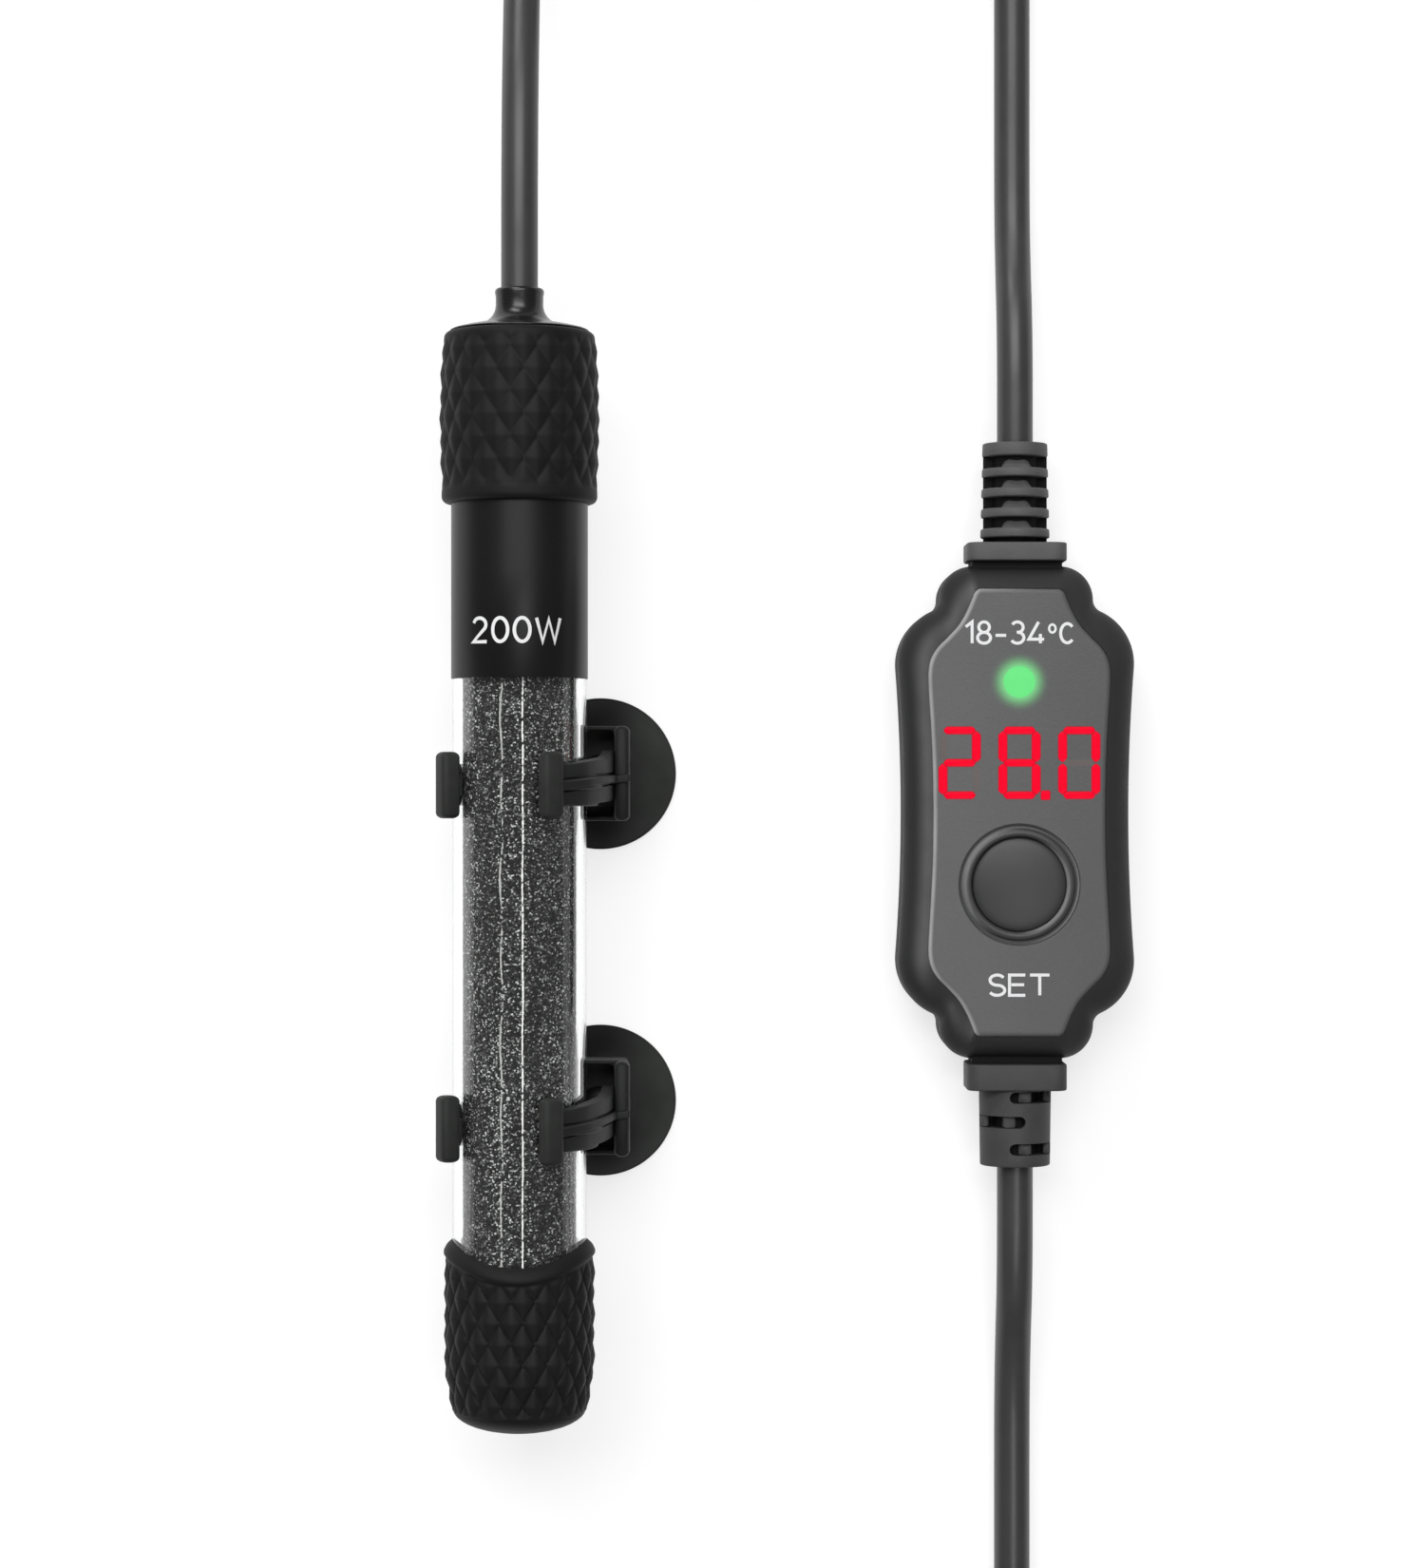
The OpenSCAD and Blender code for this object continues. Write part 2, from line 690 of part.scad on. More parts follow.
board_half_w = case_w / 2 - 5.6;
post_r = 2;
post_x = board_half_w - 8;
post_y = shoulder_y - 6.4;
module case_back() {
    color([0.14, 0.14, 0.15])
        at_controller()
            difference() {
                union() {
                    difference() {
                        stack(case_rings([[-0.35, 3.2], [0.7, 1.1], [2.5, 0], [part_z + 2, 0]]));
                        trim(-4, 0);
                        trim(part_z, part_z + 4);
                        translate([0, 0, back_t])
                            linear_extrude(part_z)
                                polygon(case_outline(wall_t));
                    }
                    for (p = screw_places)
                        translate([p.x, p.y, back_t / 2])
                            cylinder(r = boss_r + 0.4, h = part_z - back_t / 2, $fn = 32);
                    for (x = [-post_x, post_x], y = [-post_y, post_y])
                        translate([x, y, back_t / 2])
                            cylinder(r = post_r, h = board_z - back_t / 2, $fn = 32);
                }
                translate([0, 0, part_z - gasket_h / 2 - fit])
                    linear_extrude(gasket_h + 2 * fit)
                        gasket_2d(fit);
                relief_ways();
                for (p = screw_places)
                    translate([p.x, p.y, -1]) {
                        cylinder(r = screw_r + 0.25, h = case_h, $fn = 24);
                        cylinder(r = head_r + 2 * fit, h = head_sunk + head_t + 1, $fn = 24);
                    }
            }
}

module case_screws() {
    color([0.6, 0.6, 0.6])
        at_controller()
            for (p = screw_places)
                translate([p.x, p.y, head_sunk]) {
                    translate([0, 0, drive_w + fit])
                        cylinder(r = screw_r, h = part_z + screw_bite - drive_w - fit, $fn = 24);
                    difference() {
                        cylinder(r = head_r, h = head_t, $fn = 24);
                        translate([-drive_len / 2, -drive_w / 2, -drive_w])
                            cube([drive_len, drive_w, 2 * drive_w]);
                        translate([-drive_w / 2, -drive_len / 2, -drive_w])
                            cube([drive_w, drive_len, 2 * drive_w]);
                    }
                }
}

module circuit_board() {
    color([0.1, 0.35, 0.2])
        at_controller()
            translate([0, 0, board_z])
                linear_extrude(board_top - board_z)
                    difference() {
                        square([2 * board_half_w, 2 * shoulder_y + 10], center = true);
                        for (p = screw_places)
                            translate(p)
                                circle(r = boss_r + 0.8, $fn = 32);
                    }
}

// Seven-segment digits. A segment is [along x?, centre x, centre y], and each digit lists those that shine.
half_dx = (digit_w - stroke) / 2;
half_dy = (digit_h - stroke) / 2;
segments = [
    [true, 0, half_dy], [false, half_dx, half_dy / 2], [false, half_dx, -half_dy / 2], [true, 0, -half_dy],
    [false, -half_dx, -half_dy / 2], [false, -half_dx, half_dy / 2], [true, 0, 0]
];
lit = [[1, 1, 0, 1, 1, 0, 1], [1, 1, 1, 1, 1, 1, 1], [1, 1, 1, 1, 1, 1, 0]];

module segment_2d(i, grow) {
    s = segments[i];
    l = (s[0] ? half_dx : half_dy / 2) - 0.15 + grow;
    w = stroke / 2 + grow;
    translate([s[1], s[2]])
        rotate(s[0] ? 0 : 90)
            polygon([[-l, 0], [-l + w, w], [l - w, w], [l, 0], [l - w, -w], [-l + w, -w]]);
}

module digits_2d(shining, grow) {
    for (d = [0:2], i = [0:6])
        if (lit[d][i] == shining)
            translate([(d - 1) * digit_pitch, digits_y])
                segment_2d(i, grow);
    if (shining == 1)
        translate([digit_pitch / 2 - 0.85 + grow / 2, digits_y - half_dy])
            square(stroke + 2 * grow, center = true);
}

module front_panel() {
    color([0.33, 0.33, 0.33])
        at_controller()
            difference() {
                translate([0, 0, panel_z + fit])
                    linear_extrude(panel_t - fit)
                        polygon(case_outline(panel_inset));
                translate([0, button_y, panel_z - 1])
                    cylinder(r = ring_r + fit, h = 5);
                translate([0, light_y, panel_z - 1])
                    cylinder(r = light_r + fit, h = 5, $fn = 48);
                for (shining = [0, 1])
                    translate([0, 0, panel_z - 1])
                        linear_extrude(5)
                            digits_2d(shining, fit);
            }
}

module display_module() {
    color([0.1, 0.1, 0.1])
        at_controller()
            translate([-display_half_w, digits_y - digit_h / 2 - 1.8, board_top])
                cube([2 * display_half_w, digit_h + 3.6, module_top - board_top]);
}

module display_lit() {
    color([1, 0.05, 0.2])
        at_controller()
            translate([0, 0, module_top])
                linear_extrude(case_h + 0.04 - module_top)
                    digits_2d(1, 0);
}

module display_unlit() {
    color([0.3, 0.24, 0.24])
        at_controller()
            translate([0, 0, module_top])
                linear_extrude(case_h + 0.02 - module_top)
                    digits_2d(0, 0);
}

module indicator_chip() {
    color([0.9, 0.9, 0.8])
        at_controller()
            translate([-1.75, light_y - 1.4, board_top])
                cube([3.5, 2.8, 1.6]);
}

module indicator_lens() {
    color([0.45, 0.95, 0.55])
        at_controller()
            translate([0, light_y, 0])
                rotate_extrude()
                    polygon([[0, board_top + 1.6], [light_r - 0.6, board_top + 1.6], [light_r - 0.6, panel_z - 1.6],
                             [light_r + 0.8, panel_z - 1.6], [light_r + 0.8, panel_z], [light_r, panel_z],
                             [light_r, case_h], [light_r - 0.6, case_h + 0.3], [0, case_h + 0.5]]);
}

module button_ring() {
    color([0.2, 0.2, 0.2])
        at_controller()
            translate([0, button_y, 0])
                rotate_extrude($fn = 96)
                    polygon([[button_r + slide_fit, panel_z - 0.6], [ring_r, panel_z - 0.6], [ring_r, case_h - 0.1],
                             [ring_r - 0.5, case_h - 0.4], [button_r + 1.7, case_h - 0.2], [button_r + 1.5, case_h + 0.3],
                             [button_r + 1.0, case_h + 0.6], [button_r + 0.5, case_h + 0.45],
                             [button_r + slide_fit, case_h + 0.1]]);
}

plunger_r = 1.7;
switch_floor = board_top + 0.8;
plunger_low = switch_floor + button_travel + 0.4;
plunger_top = board_top + 4.6;
module set_button() {
    color([0.14, 0.14, 0.14])
        at_controller()
            translate([0, button_y, 0])
                rotate_extrude($fn = 96)
                    polygon([[0, plunger_top + 0.05], [2, plunger_top + 0.05], [2, panel_z - 2.2],
                             [button_r + 0.8, panel_z - 2.2], [button_r + 0.8, panel_z - 1], [button_r, panel_z - 1],
                             [button_r, case_h - 0.1], [button_r - 0.5, case_h + 0.25], [button_r * 0.6, case_h + 0.5],
                             [0, case_h + 0.65]]);
}

module switch_body() {
    color([0.08, 0.08, 0.08])
        at_controller()
            difference() {
                translate([-3.1, button_y - 3.1, board_top])
                    cube([6.2, 6.2, 3.4]);
                translate([0, button_y, switch_floor])
                    cylinder(r = plunger_r + slide_fit, h = 5, $fn = 32);
            }
}

module switch_plunger() {
    color([0.6, 0.55, 0.4])
        at_controller()
            translate([0, button_y, plunger_low])
                cylinder(r = plunger_r, h = plunger_top - plunger_low, $fn = 32);
}

capacitor_r = 3.6;
capacitor_x = screw_x - boss_r - capacitor_r - 0.8;
relay_left = screw_x - boss_r - 2.6;
module power_relay() {
    color([0.15, 0.2, 0.45])
        at_controller()
            translate([-relay_left, -shoulder_y - 4.4, board_top])
                cube([relay_left + capacitor_x - capacitor_r - 1.6, 7.4, 6]);
}

module mains_capacitor() {
    color([0.75, 0.5, 0.15])
        at_controller()
            translate([capacitor_x, -shoulder_y - 0.8, board_top])
                cylinder(r = capacitor_r, h = 6, $fn = 48);
}

module control_chip() {
    color([0.07, 0.07, 0.07])
        at_controller()
            translate([-board_half_w + 5, light_y - 2, board_top])
                cube([6, 6, 1.2]);
}

// Blocks that take the lead's wires, between the lead's end and the board
lead_in = wall_end - flange_t - fit;
module lead_terminal(turn) {
    at_controller()
        rotate(turn)
            difference() {
                translate([-5, lead_in - 5, board_top])
                    cube([10, 5 - fit, 4]);
                for (x = [-2.5, 2.5])
                    translate([x, lead_in - 2.5, board_top + 2])
                        cylinder(r = 1.1, h = 4, $fn = 24);
            }
}

module element_terminal() {
    color([0.2, 0.45, 0.3])
        lead_terminal(0);
}

module mains_terminal() {
    color([0.2, 0.45, 0.3])
        lead_terminal(180);
}

// Strain relief along +y from the case's end: flange inside, neck in the wall, collar, then a slotted sleeve
module relief(collar_t, sleeve_len, r0, r1) {
    gap_end = case_len / 2 + 0.9;
    translate([0, 0, part_z])
        difference() {
            union() {
                translate([-flange_half_w, wall_end - flange_t - fit, -flange_half_h])
                    cube([2 * flange_half_w, flange_t, 2 * flange_half_h]);
                translate([-neck_half_w, wall_end - 2 * fit, -neck_half_h])
                    cube([2 * neck_half_w, gap_end - wall_end + 1, 2 * neck_half_h]);
                translate([0, gap_end, 0])
                    rotate([-90, 0, 0]) {
                        linear_extrude(collar_t)
                            rounded_rect(2 * relief_half_w, 15, 3);
                        translate([0, 0, collar_t])
                            cylinder(r1 = r0, r2 = r1, h = sleeve_len);
                    }
            }
            translate([0, wall_end - 10, 0])
                rotate([-90, 0, 0])
                    cylinder(r = cord_bore_r, h = 60, $fn = 48);
            children();
        }
}

upper_collar_t = 3.5;
upper_sleeve_len = 19.2;
lower_collar_t = 5.05;
lower_sleeve_len = 14.6;
upper_end = case_len / 2 + 0.9 + upper_collar_t + upper_sleeve_len;
lower_end = case_len / 2 + 0.9 + lower_collar_t + lower_sleeve_len;
relief_core_r = 4.7;

// Cuts between the rings of the upper relief, from the front and the back, which leave a core and two side webs
module upper_slots() {
    for (i = [0:4])
        translate([0, upper_end - 2.4 - 2.05 - i * 3.9 + (i == 4 ? 0.8 : 0), 0])
            difference() {
                translate([-5.3, 0, -8])
                    cube([10.6, i == 4 ? 1.25 : 2.05, 16]);
                translate([0, -1, 0])
                    rotate([-90, 0, 0])
                        cylinder(r = relief_core_r, h = 5, $fn = 48);
            }
}

module upper_relief() {
    color([0.2, 0.2, 0.2])
        at_controller()
            relief(upper_collar_t, upper_sleeve_len, 6.6, 6.25)
                upper_slots();
}

// Cuts of the lower relief, open in turn at the right, the left and the right
module lower_slots() {
    for (i = [0:2])
        translate([0, case_len / 2 + 0.9 + lower_collar_t + 2.2 + i * 4.3, 0])
            difference() {
                mirror([i % 2, 0, 0]) {
                    translate([-10, 0, -8])
                        cube([11, 2.2, 16]);
                    translate([1, 1.1, -8])
                        cylinder(r = 1.1, h = 16, $fn = 32);
                }
                translate([0, -1, 0])
                    rotate([-90, 0, 0])
                        cylinder(r = relief_core_r, h = 5, $fn = 48);
            }
}

module lower_relief() {
    color([0.2, 0.2, 0.2])
        at_controller()
            rotate(180)
                relief(lower_collar_t, lower_sleeve_len, 6.9, 6.7)
                    lower_slots();
}

// Round bar along a path that never stands upright
function heading(path, i) = unit(path[min(i + 1, len(path) - 1)] - path[max(i - 1, 0)]);
function bar_ring(p, t, r, n) = let (s = unit(cross(t, [0, 0, 1])), u = cross(t, s))
    [for (k = [0:n - 1]) p + r * (cos(360 * k / n + 180 / n) * s + sin(360 * k / n + 180 / n) * u)];
module swept(path, r, n) {
    stack([for (i = [0:len(path) - 1]) bar_ring(path[i], heading(path, i), r, n)]);
}

// Wound lead: two layers, in along one and out along the other, turning clockwise as seen from above.
// It starts at angle a0 with radius r0, and both ends run straight for one diameter.
coil_pitch = cord_d + turn_gap;
low_layer_z = cord_r + 1.3;
function coil_point(c, r0, a0, turns, z0, z1, u) =
    let (r = r0 - coil_pitch * min(u, turns - u), a = a0 - 360 * u)
    [c.x + r * cos(a), c.y + r * sin(a), z0 + (z1 - z0) * smooth((u - turns / 2) / 0.5 + 0.5)];
function coil_path(c, r0, a0, turns, z0, z1) = let (
    steps = turns * 24,
    inner = [for (i = [0:steps]) coil_point(c, r0, a0, turns, z0, z1, i / 24)],
    into = [sin(a0), -cos(a0), 0],
    away = [sin(a0 - 360 * turns), -cos(a0 - 360 * turns), 0]
) concat([inner[0] - cord_d * into], inner, [inner[steps] + cord_d * away]);
function least_gap(path) = min([for (i = [0:len(path) - 14], j = [i + 13:len(path) - 1]) norm(path[i] - path[j])]) - cord_d;

// Lead from the heater: out of the neck, down to the wound part beyond the picture's upper edge
coil_a_r = axis_gap / 2;
coil_a = [heater_x + coil_a_r, heater_len / 2 + 113.5];
top_layer_z = low_layer_z + coil_pitch;
coil_a_path = coil_path(coil_a, coil_a_r, 180, 2.5, top_layer_z, low_layer_z);
heater_drop = [[0, 0], [0.15, 0.04], [0.3, 0.15], [0.45, 0.35], [0.6, 0.58], [0.75, 0.8], [0.9, 0.96], [1, 1]];
neck_straight = heater_len / 2 + 14;
heater_route = concat(
    [[heater_x, boot_low + 0.05 - heater_len / 2, axis_z], [heater_x, heater_len / 2, axis_z]],
    [for (p = heater_drop) [heater_x, neck_straight + p[0] * (coil_a.y - 16 - neck_straight),
                            axis_z + p[1] * (top_layer_z - axis_z)]],
    [[heater_x, coil_a.y - cord_d, top_layer_z]]
);
// Lead from the wound part down to the controller's upper relief
upper_out = controller_y + upper_end;
controller_route = [
    [controller_x, coil_a.y - cord_d, low_layer_z], [controller_x, coil_a.y - 20, low_layer_z],
    [controller_x, coil_a.y - 36, cord_r + 0.6], [controller_x, coil_a.y - 52, cord_r + 0.1],
    [controller_x, coil_a.y - 68, cord_r + 0.1], [controller_x, upper_out + 56, cord_r + 0.1],
    [controller_x, upper_out + 44, cord_r + 0.8], [controller_x, upper_out + 34, cord_r + 3],
    [controller_x, upper_out + 25, part_z - 1.6], [controller_x, upper_out + 16, part_z - 0.2],
    [controller_x, upper_out + 8, part_z], [controller_x, upper_out, part_z],
    [controller_x, controller_y + lead_in + 0.05, part_z]
];

// Supply lead from the lower relief to the wound part beyond the picture's lower edge, then the plug
coil_b_r = 43;
coil_b = [controller_x - coil_b_r, controller_y - 196.7];
coil_b_path = coil_path(coil_b, coil_b_r, 0, 2, low_layer_z, top_layer_z);
lower_out = controller_y - lower_end;
supply_route = [
    [controller_x, controller_y - lead_in - 0.05, part_z], [controller_x, lower_out, part_z],
    [controller_x, lower_out - 8, part_z], [controller_x, lower_out - 16, part_z - 0.2],
    [controller_x, lower_out - 25, part_z - 1.6], [controller_x, lower_out - 34, cord_r + 3],
    [controller_x, lower_out - 44, cord_r + 0.8], [controller_x, lower_out - 56, cord_r + 0.1],
    [controller_x, lower_out - 72, cord_r + 0.1], [controller_x, lower_out - 88, cord_r + 0.1],
    [controller_x, lower_out - 104, cord_r + 0.6], [controller_x, coil_b.y + 14, low_layer_z],
    [controller_x, coil_b.y + cord_d, low_layer_z]
];
plug_half_h = 6.8;
plug_z = plug_half_h + 0.1;
plug_y = coil_b.y - 42;
plug_route = [
    [controller_x, coil_b.y - cord_d, top_layer_z], [controller_x, coil_b.y - 12, top_layer_z],
    [controller_x, coil_b.y - 20, top_layer_z - 1.2], [controller_x, coil_b.y - 28, plug_z + 1.2],
    [controller_x, coil_b.y - 36, plug_z], [controller_x, plug_y - 12, plug_z]
];
echo(str("Least gap in the heater lead's winding: ", least_gap(coil_a_path), " mm"));
echo(str("Least gap in the supply lead's winding: ", least_gap(coil_b_path), " mm"));

module lead(route) {
    color([0.07, 0.07, 0.07])
        swept(route, cord_r, 10);
}

module winding(path) {
    color([0.07, 0.07, 0.07])
        swept(path, cord_r, 6);
}

module heater_lead() {
    lead(heater_route);
}

module heater_lead_coil() {
    winding(coil_a_path);
}

module controller_lead() {
    lead(controller_route);
}

module supply_lead() {
    lead(supply_route);
}

module supply_lead_coil() {
    winding(coil_b_path);
}

module plug_lead() {
    lead(plug_route);
}

// Tie round two stacked turns. Local x points out from the winding's middle.
tie_t = 0.9;
tie_w = 6;
module tie_round(c, r, a) {
    translate([c.x, c.y, (low_layer_z + top_layer_z) / 2])
        rotate(a)
            translate([r, 0, 0])
                rotate([90, 0, 0])
                    linear_extrude(tie_w, center = true)
                        difference() {
                            rounded_rect(cord_d + 0.5 + 2 * tie_t, cord_d + coil_pitch + 0.5 + 2 * tie_t, 2.5);
                            rounded_rect(cord_d + 0.5, cord_d + coil_pitch + 0.5, 1.6);
                        }
}

module heater_coil_tie() {
    color([0.1, 0.1, 0.1])
        tie_round(coil_a, coil_a_r - 0.75 * coil_pitch, -90);
}

module supply_coil_tie() {
    color([0.1, 0.1, 0.1])
        tie_round(coil_b, coil_b_r - 0.5 * coil_pitch, 180);
}

// Flat two-pin plug, pins along -y
plug_len = 36;
plug_half_w = 17;
plug_tail = 18;
plug_face = plug_y - plug_tail - plug_len;
root_len = 12;
module plug_body() {
    color([0.09, 0.09, 0.09])
        translate([controller_x, plug_y - plug_tail, plug_z])
            difference() {
                union() {
                    intersection() {
                        translate([0, 0, -plug_half_h])
                            linear_extrude(2 * plug_half_h)
                                polygon([[-7, 0], [7, 0], [plug_half_w - 1, -12], [plug_half_w, -15],
                                         [plug_half_w, -26], [pin_gap / 2 + 4.5, -plug_len], [-pin_gap / 2 - 4.5, -plug_len],
                                         [-plug_half_w, -26], [-plug_half_w, -15], [-plug_half_w + 1, -12]]);
                        rotate([90, 0, 90])
                            linear_extrude(80, center = true)
                                polygon([[1, -5.4], [1, 5.4], [-9, plug_half_h], [-plug_len + 1.5, plug_half_h],
                                         [-plug_len, 5.6], [-plug_len, -5.6], [-plug_len + 1.5, -plug_half_h],
                                         [-9, -plug_half_h]]);
                    }
                    translate([0, -1, 0])
                        rotate([-90, 0, 0])
                            cylinder(r1 = 5.4, r2 = 4.6, h = plug_tail + 1, $fn = 48);
                }
                translate([0, -1.5, 0])
                    rotate([-90, 0, 0])
                        cylinder(r = cord_bore_r, h = 40, $fn = 48);
                for (x = [-1, 1])
                    translate([x * pin_gap / 2, -plug_len + root_len, 0])
                        rotate([90, 0, 0])
                            cylinder(r = pin_d / 2 - 0.5 + fit, h = root_len + 1, $fn = 48);
                for (i = [0:2])
                    translate([0, 4 + 4.4 * i, 0])
                        rotate([-90, 0, 0])
                            difference() {
                                cylinder(r = 8, h = 1.8, $fn = 48);
                                translate([0, 0, -1])
                                    cylinder(r = 4.15, h = 4, $fn = 48);
                            }
            }
}

module plug_pins() {
    color([0.75, 0.75, 0.72])
        for (x = [-1, 1])
            translate([controller_x + x * pin_gap / 2, plug_face, plug_z])
                rotate([90, 0, 0]) {
                    translate([0, 0, -root_len + fit])
                        cylinder(r = pin_d / 2 - 0.5, h = root_len, $fn = 48);
                    translate([0, 0, fit])
                        cylinder(r = pin_d / 2, h = pin_len - 1 - fit, $fn = 48);
                    translate([0, 0, pin_len - 1])
                        cylinder(r1 = pin_d / 2, r2 = pin_d / 2 - 0.8, h = 1, $fn = 48);
                }
}

glass_tube();
tube_sleeve();
top_cap();
cord_boot();
tube_seal();
stopper();
bottom_cap();
foot_pad();
quartz_sand();
ceramic_former();
heating_coil();
base_disc();
retaining_disc();
return_wire();
sensor_wire();
thermal_sensor();
thermal_fuse();
element_wires();
upper_clip();
lower_clip();
upper_suction_cup();
lower_suction_cup();
case_front();
front_panel();
case_back();
case_gasket();
case_screws();
circuit_board();
display_module();
display_lit();
display_unlit();
indicator_lens();
indicator_chip();
button_ring();
set_button();
switch_body();
switch_plunger();
power_relay();
mains_capacitor();
control_chip();
upper_relief();
lower_relief();
element_terminal();
mains_terminal();
heater_lead();
heater_lead_coil();
controller_lead();
heater_coil_tie();
supply_lead();
supply_lead_coil();
plug_lead();
supply_coil_tie();
plug_body();
plug_pins();
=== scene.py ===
"""Looks of a submersible aquarium heater with an in-line controller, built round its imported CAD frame."""

import logging
from collections.abc import Callable, Iterator, Sequence
from contextlib import contextmanager
from dataclasses import dataclass
from enum import Enum
from functools import partial
from itertools import accumulate, product
from math import atan2, copysign, cos, degrees, dist, hypot, pi, radians, sin, sqrt, tan

import bmesh
import bpy
from mathutils import Matrix, Vector


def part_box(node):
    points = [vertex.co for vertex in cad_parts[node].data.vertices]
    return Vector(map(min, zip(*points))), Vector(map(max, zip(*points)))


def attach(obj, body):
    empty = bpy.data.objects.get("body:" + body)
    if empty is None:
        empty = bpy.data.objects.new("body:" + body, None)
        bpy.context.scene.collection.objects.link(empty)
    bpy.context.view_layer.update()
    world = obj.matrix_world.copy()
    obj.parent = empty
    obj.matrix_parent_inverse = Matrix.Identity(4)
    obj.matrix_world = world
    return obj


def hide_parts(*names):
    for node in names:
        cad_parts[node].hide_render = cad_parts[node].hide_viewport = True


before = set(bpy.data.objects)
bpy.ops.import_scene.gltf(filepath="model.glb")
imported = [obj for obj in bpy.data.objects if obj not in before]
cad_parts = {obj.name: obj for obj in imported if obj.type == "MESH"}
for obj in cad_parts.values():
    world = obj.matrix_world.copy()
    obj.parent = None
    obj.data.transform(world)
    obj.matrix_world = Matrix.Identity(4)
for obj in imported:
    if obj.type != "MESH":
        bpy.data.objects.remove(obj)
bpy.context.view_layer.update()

LOG = logging.getLogger("aquarium_heater")
MM = 0.001
Point2 = tuple[float, float]
Point3 = tuple[float, float, float]
Colour = tuple[float, float, float]
Place = Callable[[float, float, float], Point3]
Piece = bpy.types.Object


class End(Enum):
    """Ends of the heater."""

    UPPER = "upper"
    LOWER = "lower"


class FarEnd(Enum):
    """What a lead ends in."""

    OBJECT = "object"
    PLUG = "plug"


class Body(Enum):
    """Bodies of the frame that pieces ride on."""

    SET = "heater_set"
    BUTTON = "set_button"
    UPPER_CLIP = "upper_clip"
    LOWER_CLIP = "lower_clip"
    UPPER_CUP = "upper_cup"
    LOWER_CUP = "lower_cup"


class Slot(Enum):
    """Material slots of the record, named with each piece; nothing gives them to the pieces."""

    GRIP = "grip_rubber"
    BOOT = "boot_rubber"
    SLEEVE = "sleeve"
    GLASS = "clear_glass"
    SAND = "sand"
    WIRE = "wire"
    ELEMENT = "element"
    CLIP = "clip"
    CUP = "cup"
    RELIEF = "relief"
    CASE = "case"
    PANEL = "panel"
    LIT = "lit"
    UNLIT = "unlit"
    LENS = "lens"
    BUTTON = "button"
    CORD = "cord"
    TIE = "tie"
    PLUG = "plug"
    PIN = "pin"


# Shader building


class Val:
    """A socket of a node tree, with arithmetic that adds Math nodes."""

    def __init__(self, nodes: "Nodes", socket: bpy.types.NodeSocket) -> None:
        """Wraps a socket of those nodes."""
        self.nodes = nodes
        self.socket = socket

    def math(self, operation: str, *others: "Val | float") -> "Val":
        """Adds a Math node of that operation, on this value and others."""
        return self.nodes.node("Math", {"operation": operation}, dict(enumerate((self, *others))))

    def __add__(self, other: "Val | float") -> "Val":
        """Sum."""
        return self.math("ADD", other)

    __radd__ = __add__

    def __mul__(self, other: "Val | float") -> "Val":
        """Product."""
        return self.math("MULTIPLY", other)

    __rmul__ = __mul__

    def __sub__(self, other: "Val | float") -> "Val":
        """Difference."""
        return self.math("SUBTRACT", other)

    def __rsub__(self, other: float) -> "Val":
        """A number less this value."""
        return (self * -1.0) + other

    def step(self, low: float, high: float) -> "Val":
        """Smooth step from 0 at low to 1 at high."""
        sockets = {"Value": self, "From Min": low, "From Max": high}
        return self.nodes.node("MapRange", {"interpolation_type": "SMOOTHSTEP"}, sockets)

    def beside(self, output: int | str) -> "Val":
        """Another output of the same node."""
        return Val(self.nodes, self.socket.node.outputs[output])


class Nodes:
    """A node tree under construction."""

    def __init__(self, tree: bpy.types.NodeTree) -> None:
        """Takes the tree that the nodes go into."""
        self.tree = tree

    def node(
        self, kind: str, settings: dict | None = None, sockets: dict | None = None, output: int | str = 0
    ) -> Val:
        """Adds one node.

        Args:
            kind: the node's type, less its first words.
            settings: its properties, set first; "stops" fills a colour ramp.
            sockets: values or links of its inputs, by name or number.
            output: which of its outputs is wanted, by name or number.

        Returns:
            That output.
        """
        node = self.tree.nodes.new(f"ShaderNode{kind}")
        for key, value in (settings or {}).items():
            if key == "stops":
                self._fill_ramp(node.color_ramp, value)
            else:
                setattr(node, key, value)
        for key, value in (sockets or {}).items():
            self.feed(node.inputs[key], value)
        return Val(self, node.outputs[output])

    @staticmethod
    def _fill_ramp(ramp: bpy.types.ColorRamp, stops: Sequence[tuple[float, Colour]]) -> None:
        """Gives a ramp its stops.

        Args:
            ramp: the ramp of a node.
            stops: place and colour of each stop.
        """
        while len(ramp.elements) < len(stops):
            ramp.elements.new(1.0)
        for element, (place, colour) in zip(ramp.elements, stops):
            element.position = place
            element.color = (*colour, 1.0)

    def feed(self, socket: bpy.types.NodeSocket, value: "Val | float | Sequence[float]") -> None:
        """Links or sets one input.

        Args:
            socket: the input.
            value: an output to link, or a constant.
        """
        if isinstance(value, Val):
            self.tree.links.new(value.socket, socket)
        elif isinstance(value, (int, float)):
            socket.default_value = value
        else:
            socket.default_value = (*value, 1.0) if len(socket.default_value) == 4 else tuple(value)

    def rays(self, *kinds: str) -> Val:
        """1 for light rays of those kinds, and 0 for others.

        Args:
            kinds: Blender's words for the kinds.

        Returns:
            The value.
        """
        path = self.node("LightPath")
        total, *others = (path.beside(f"Is {kind} Ray") for kind in kinds)
        for other in others:
            total = total.math("MAXIMUM", other)
        return total


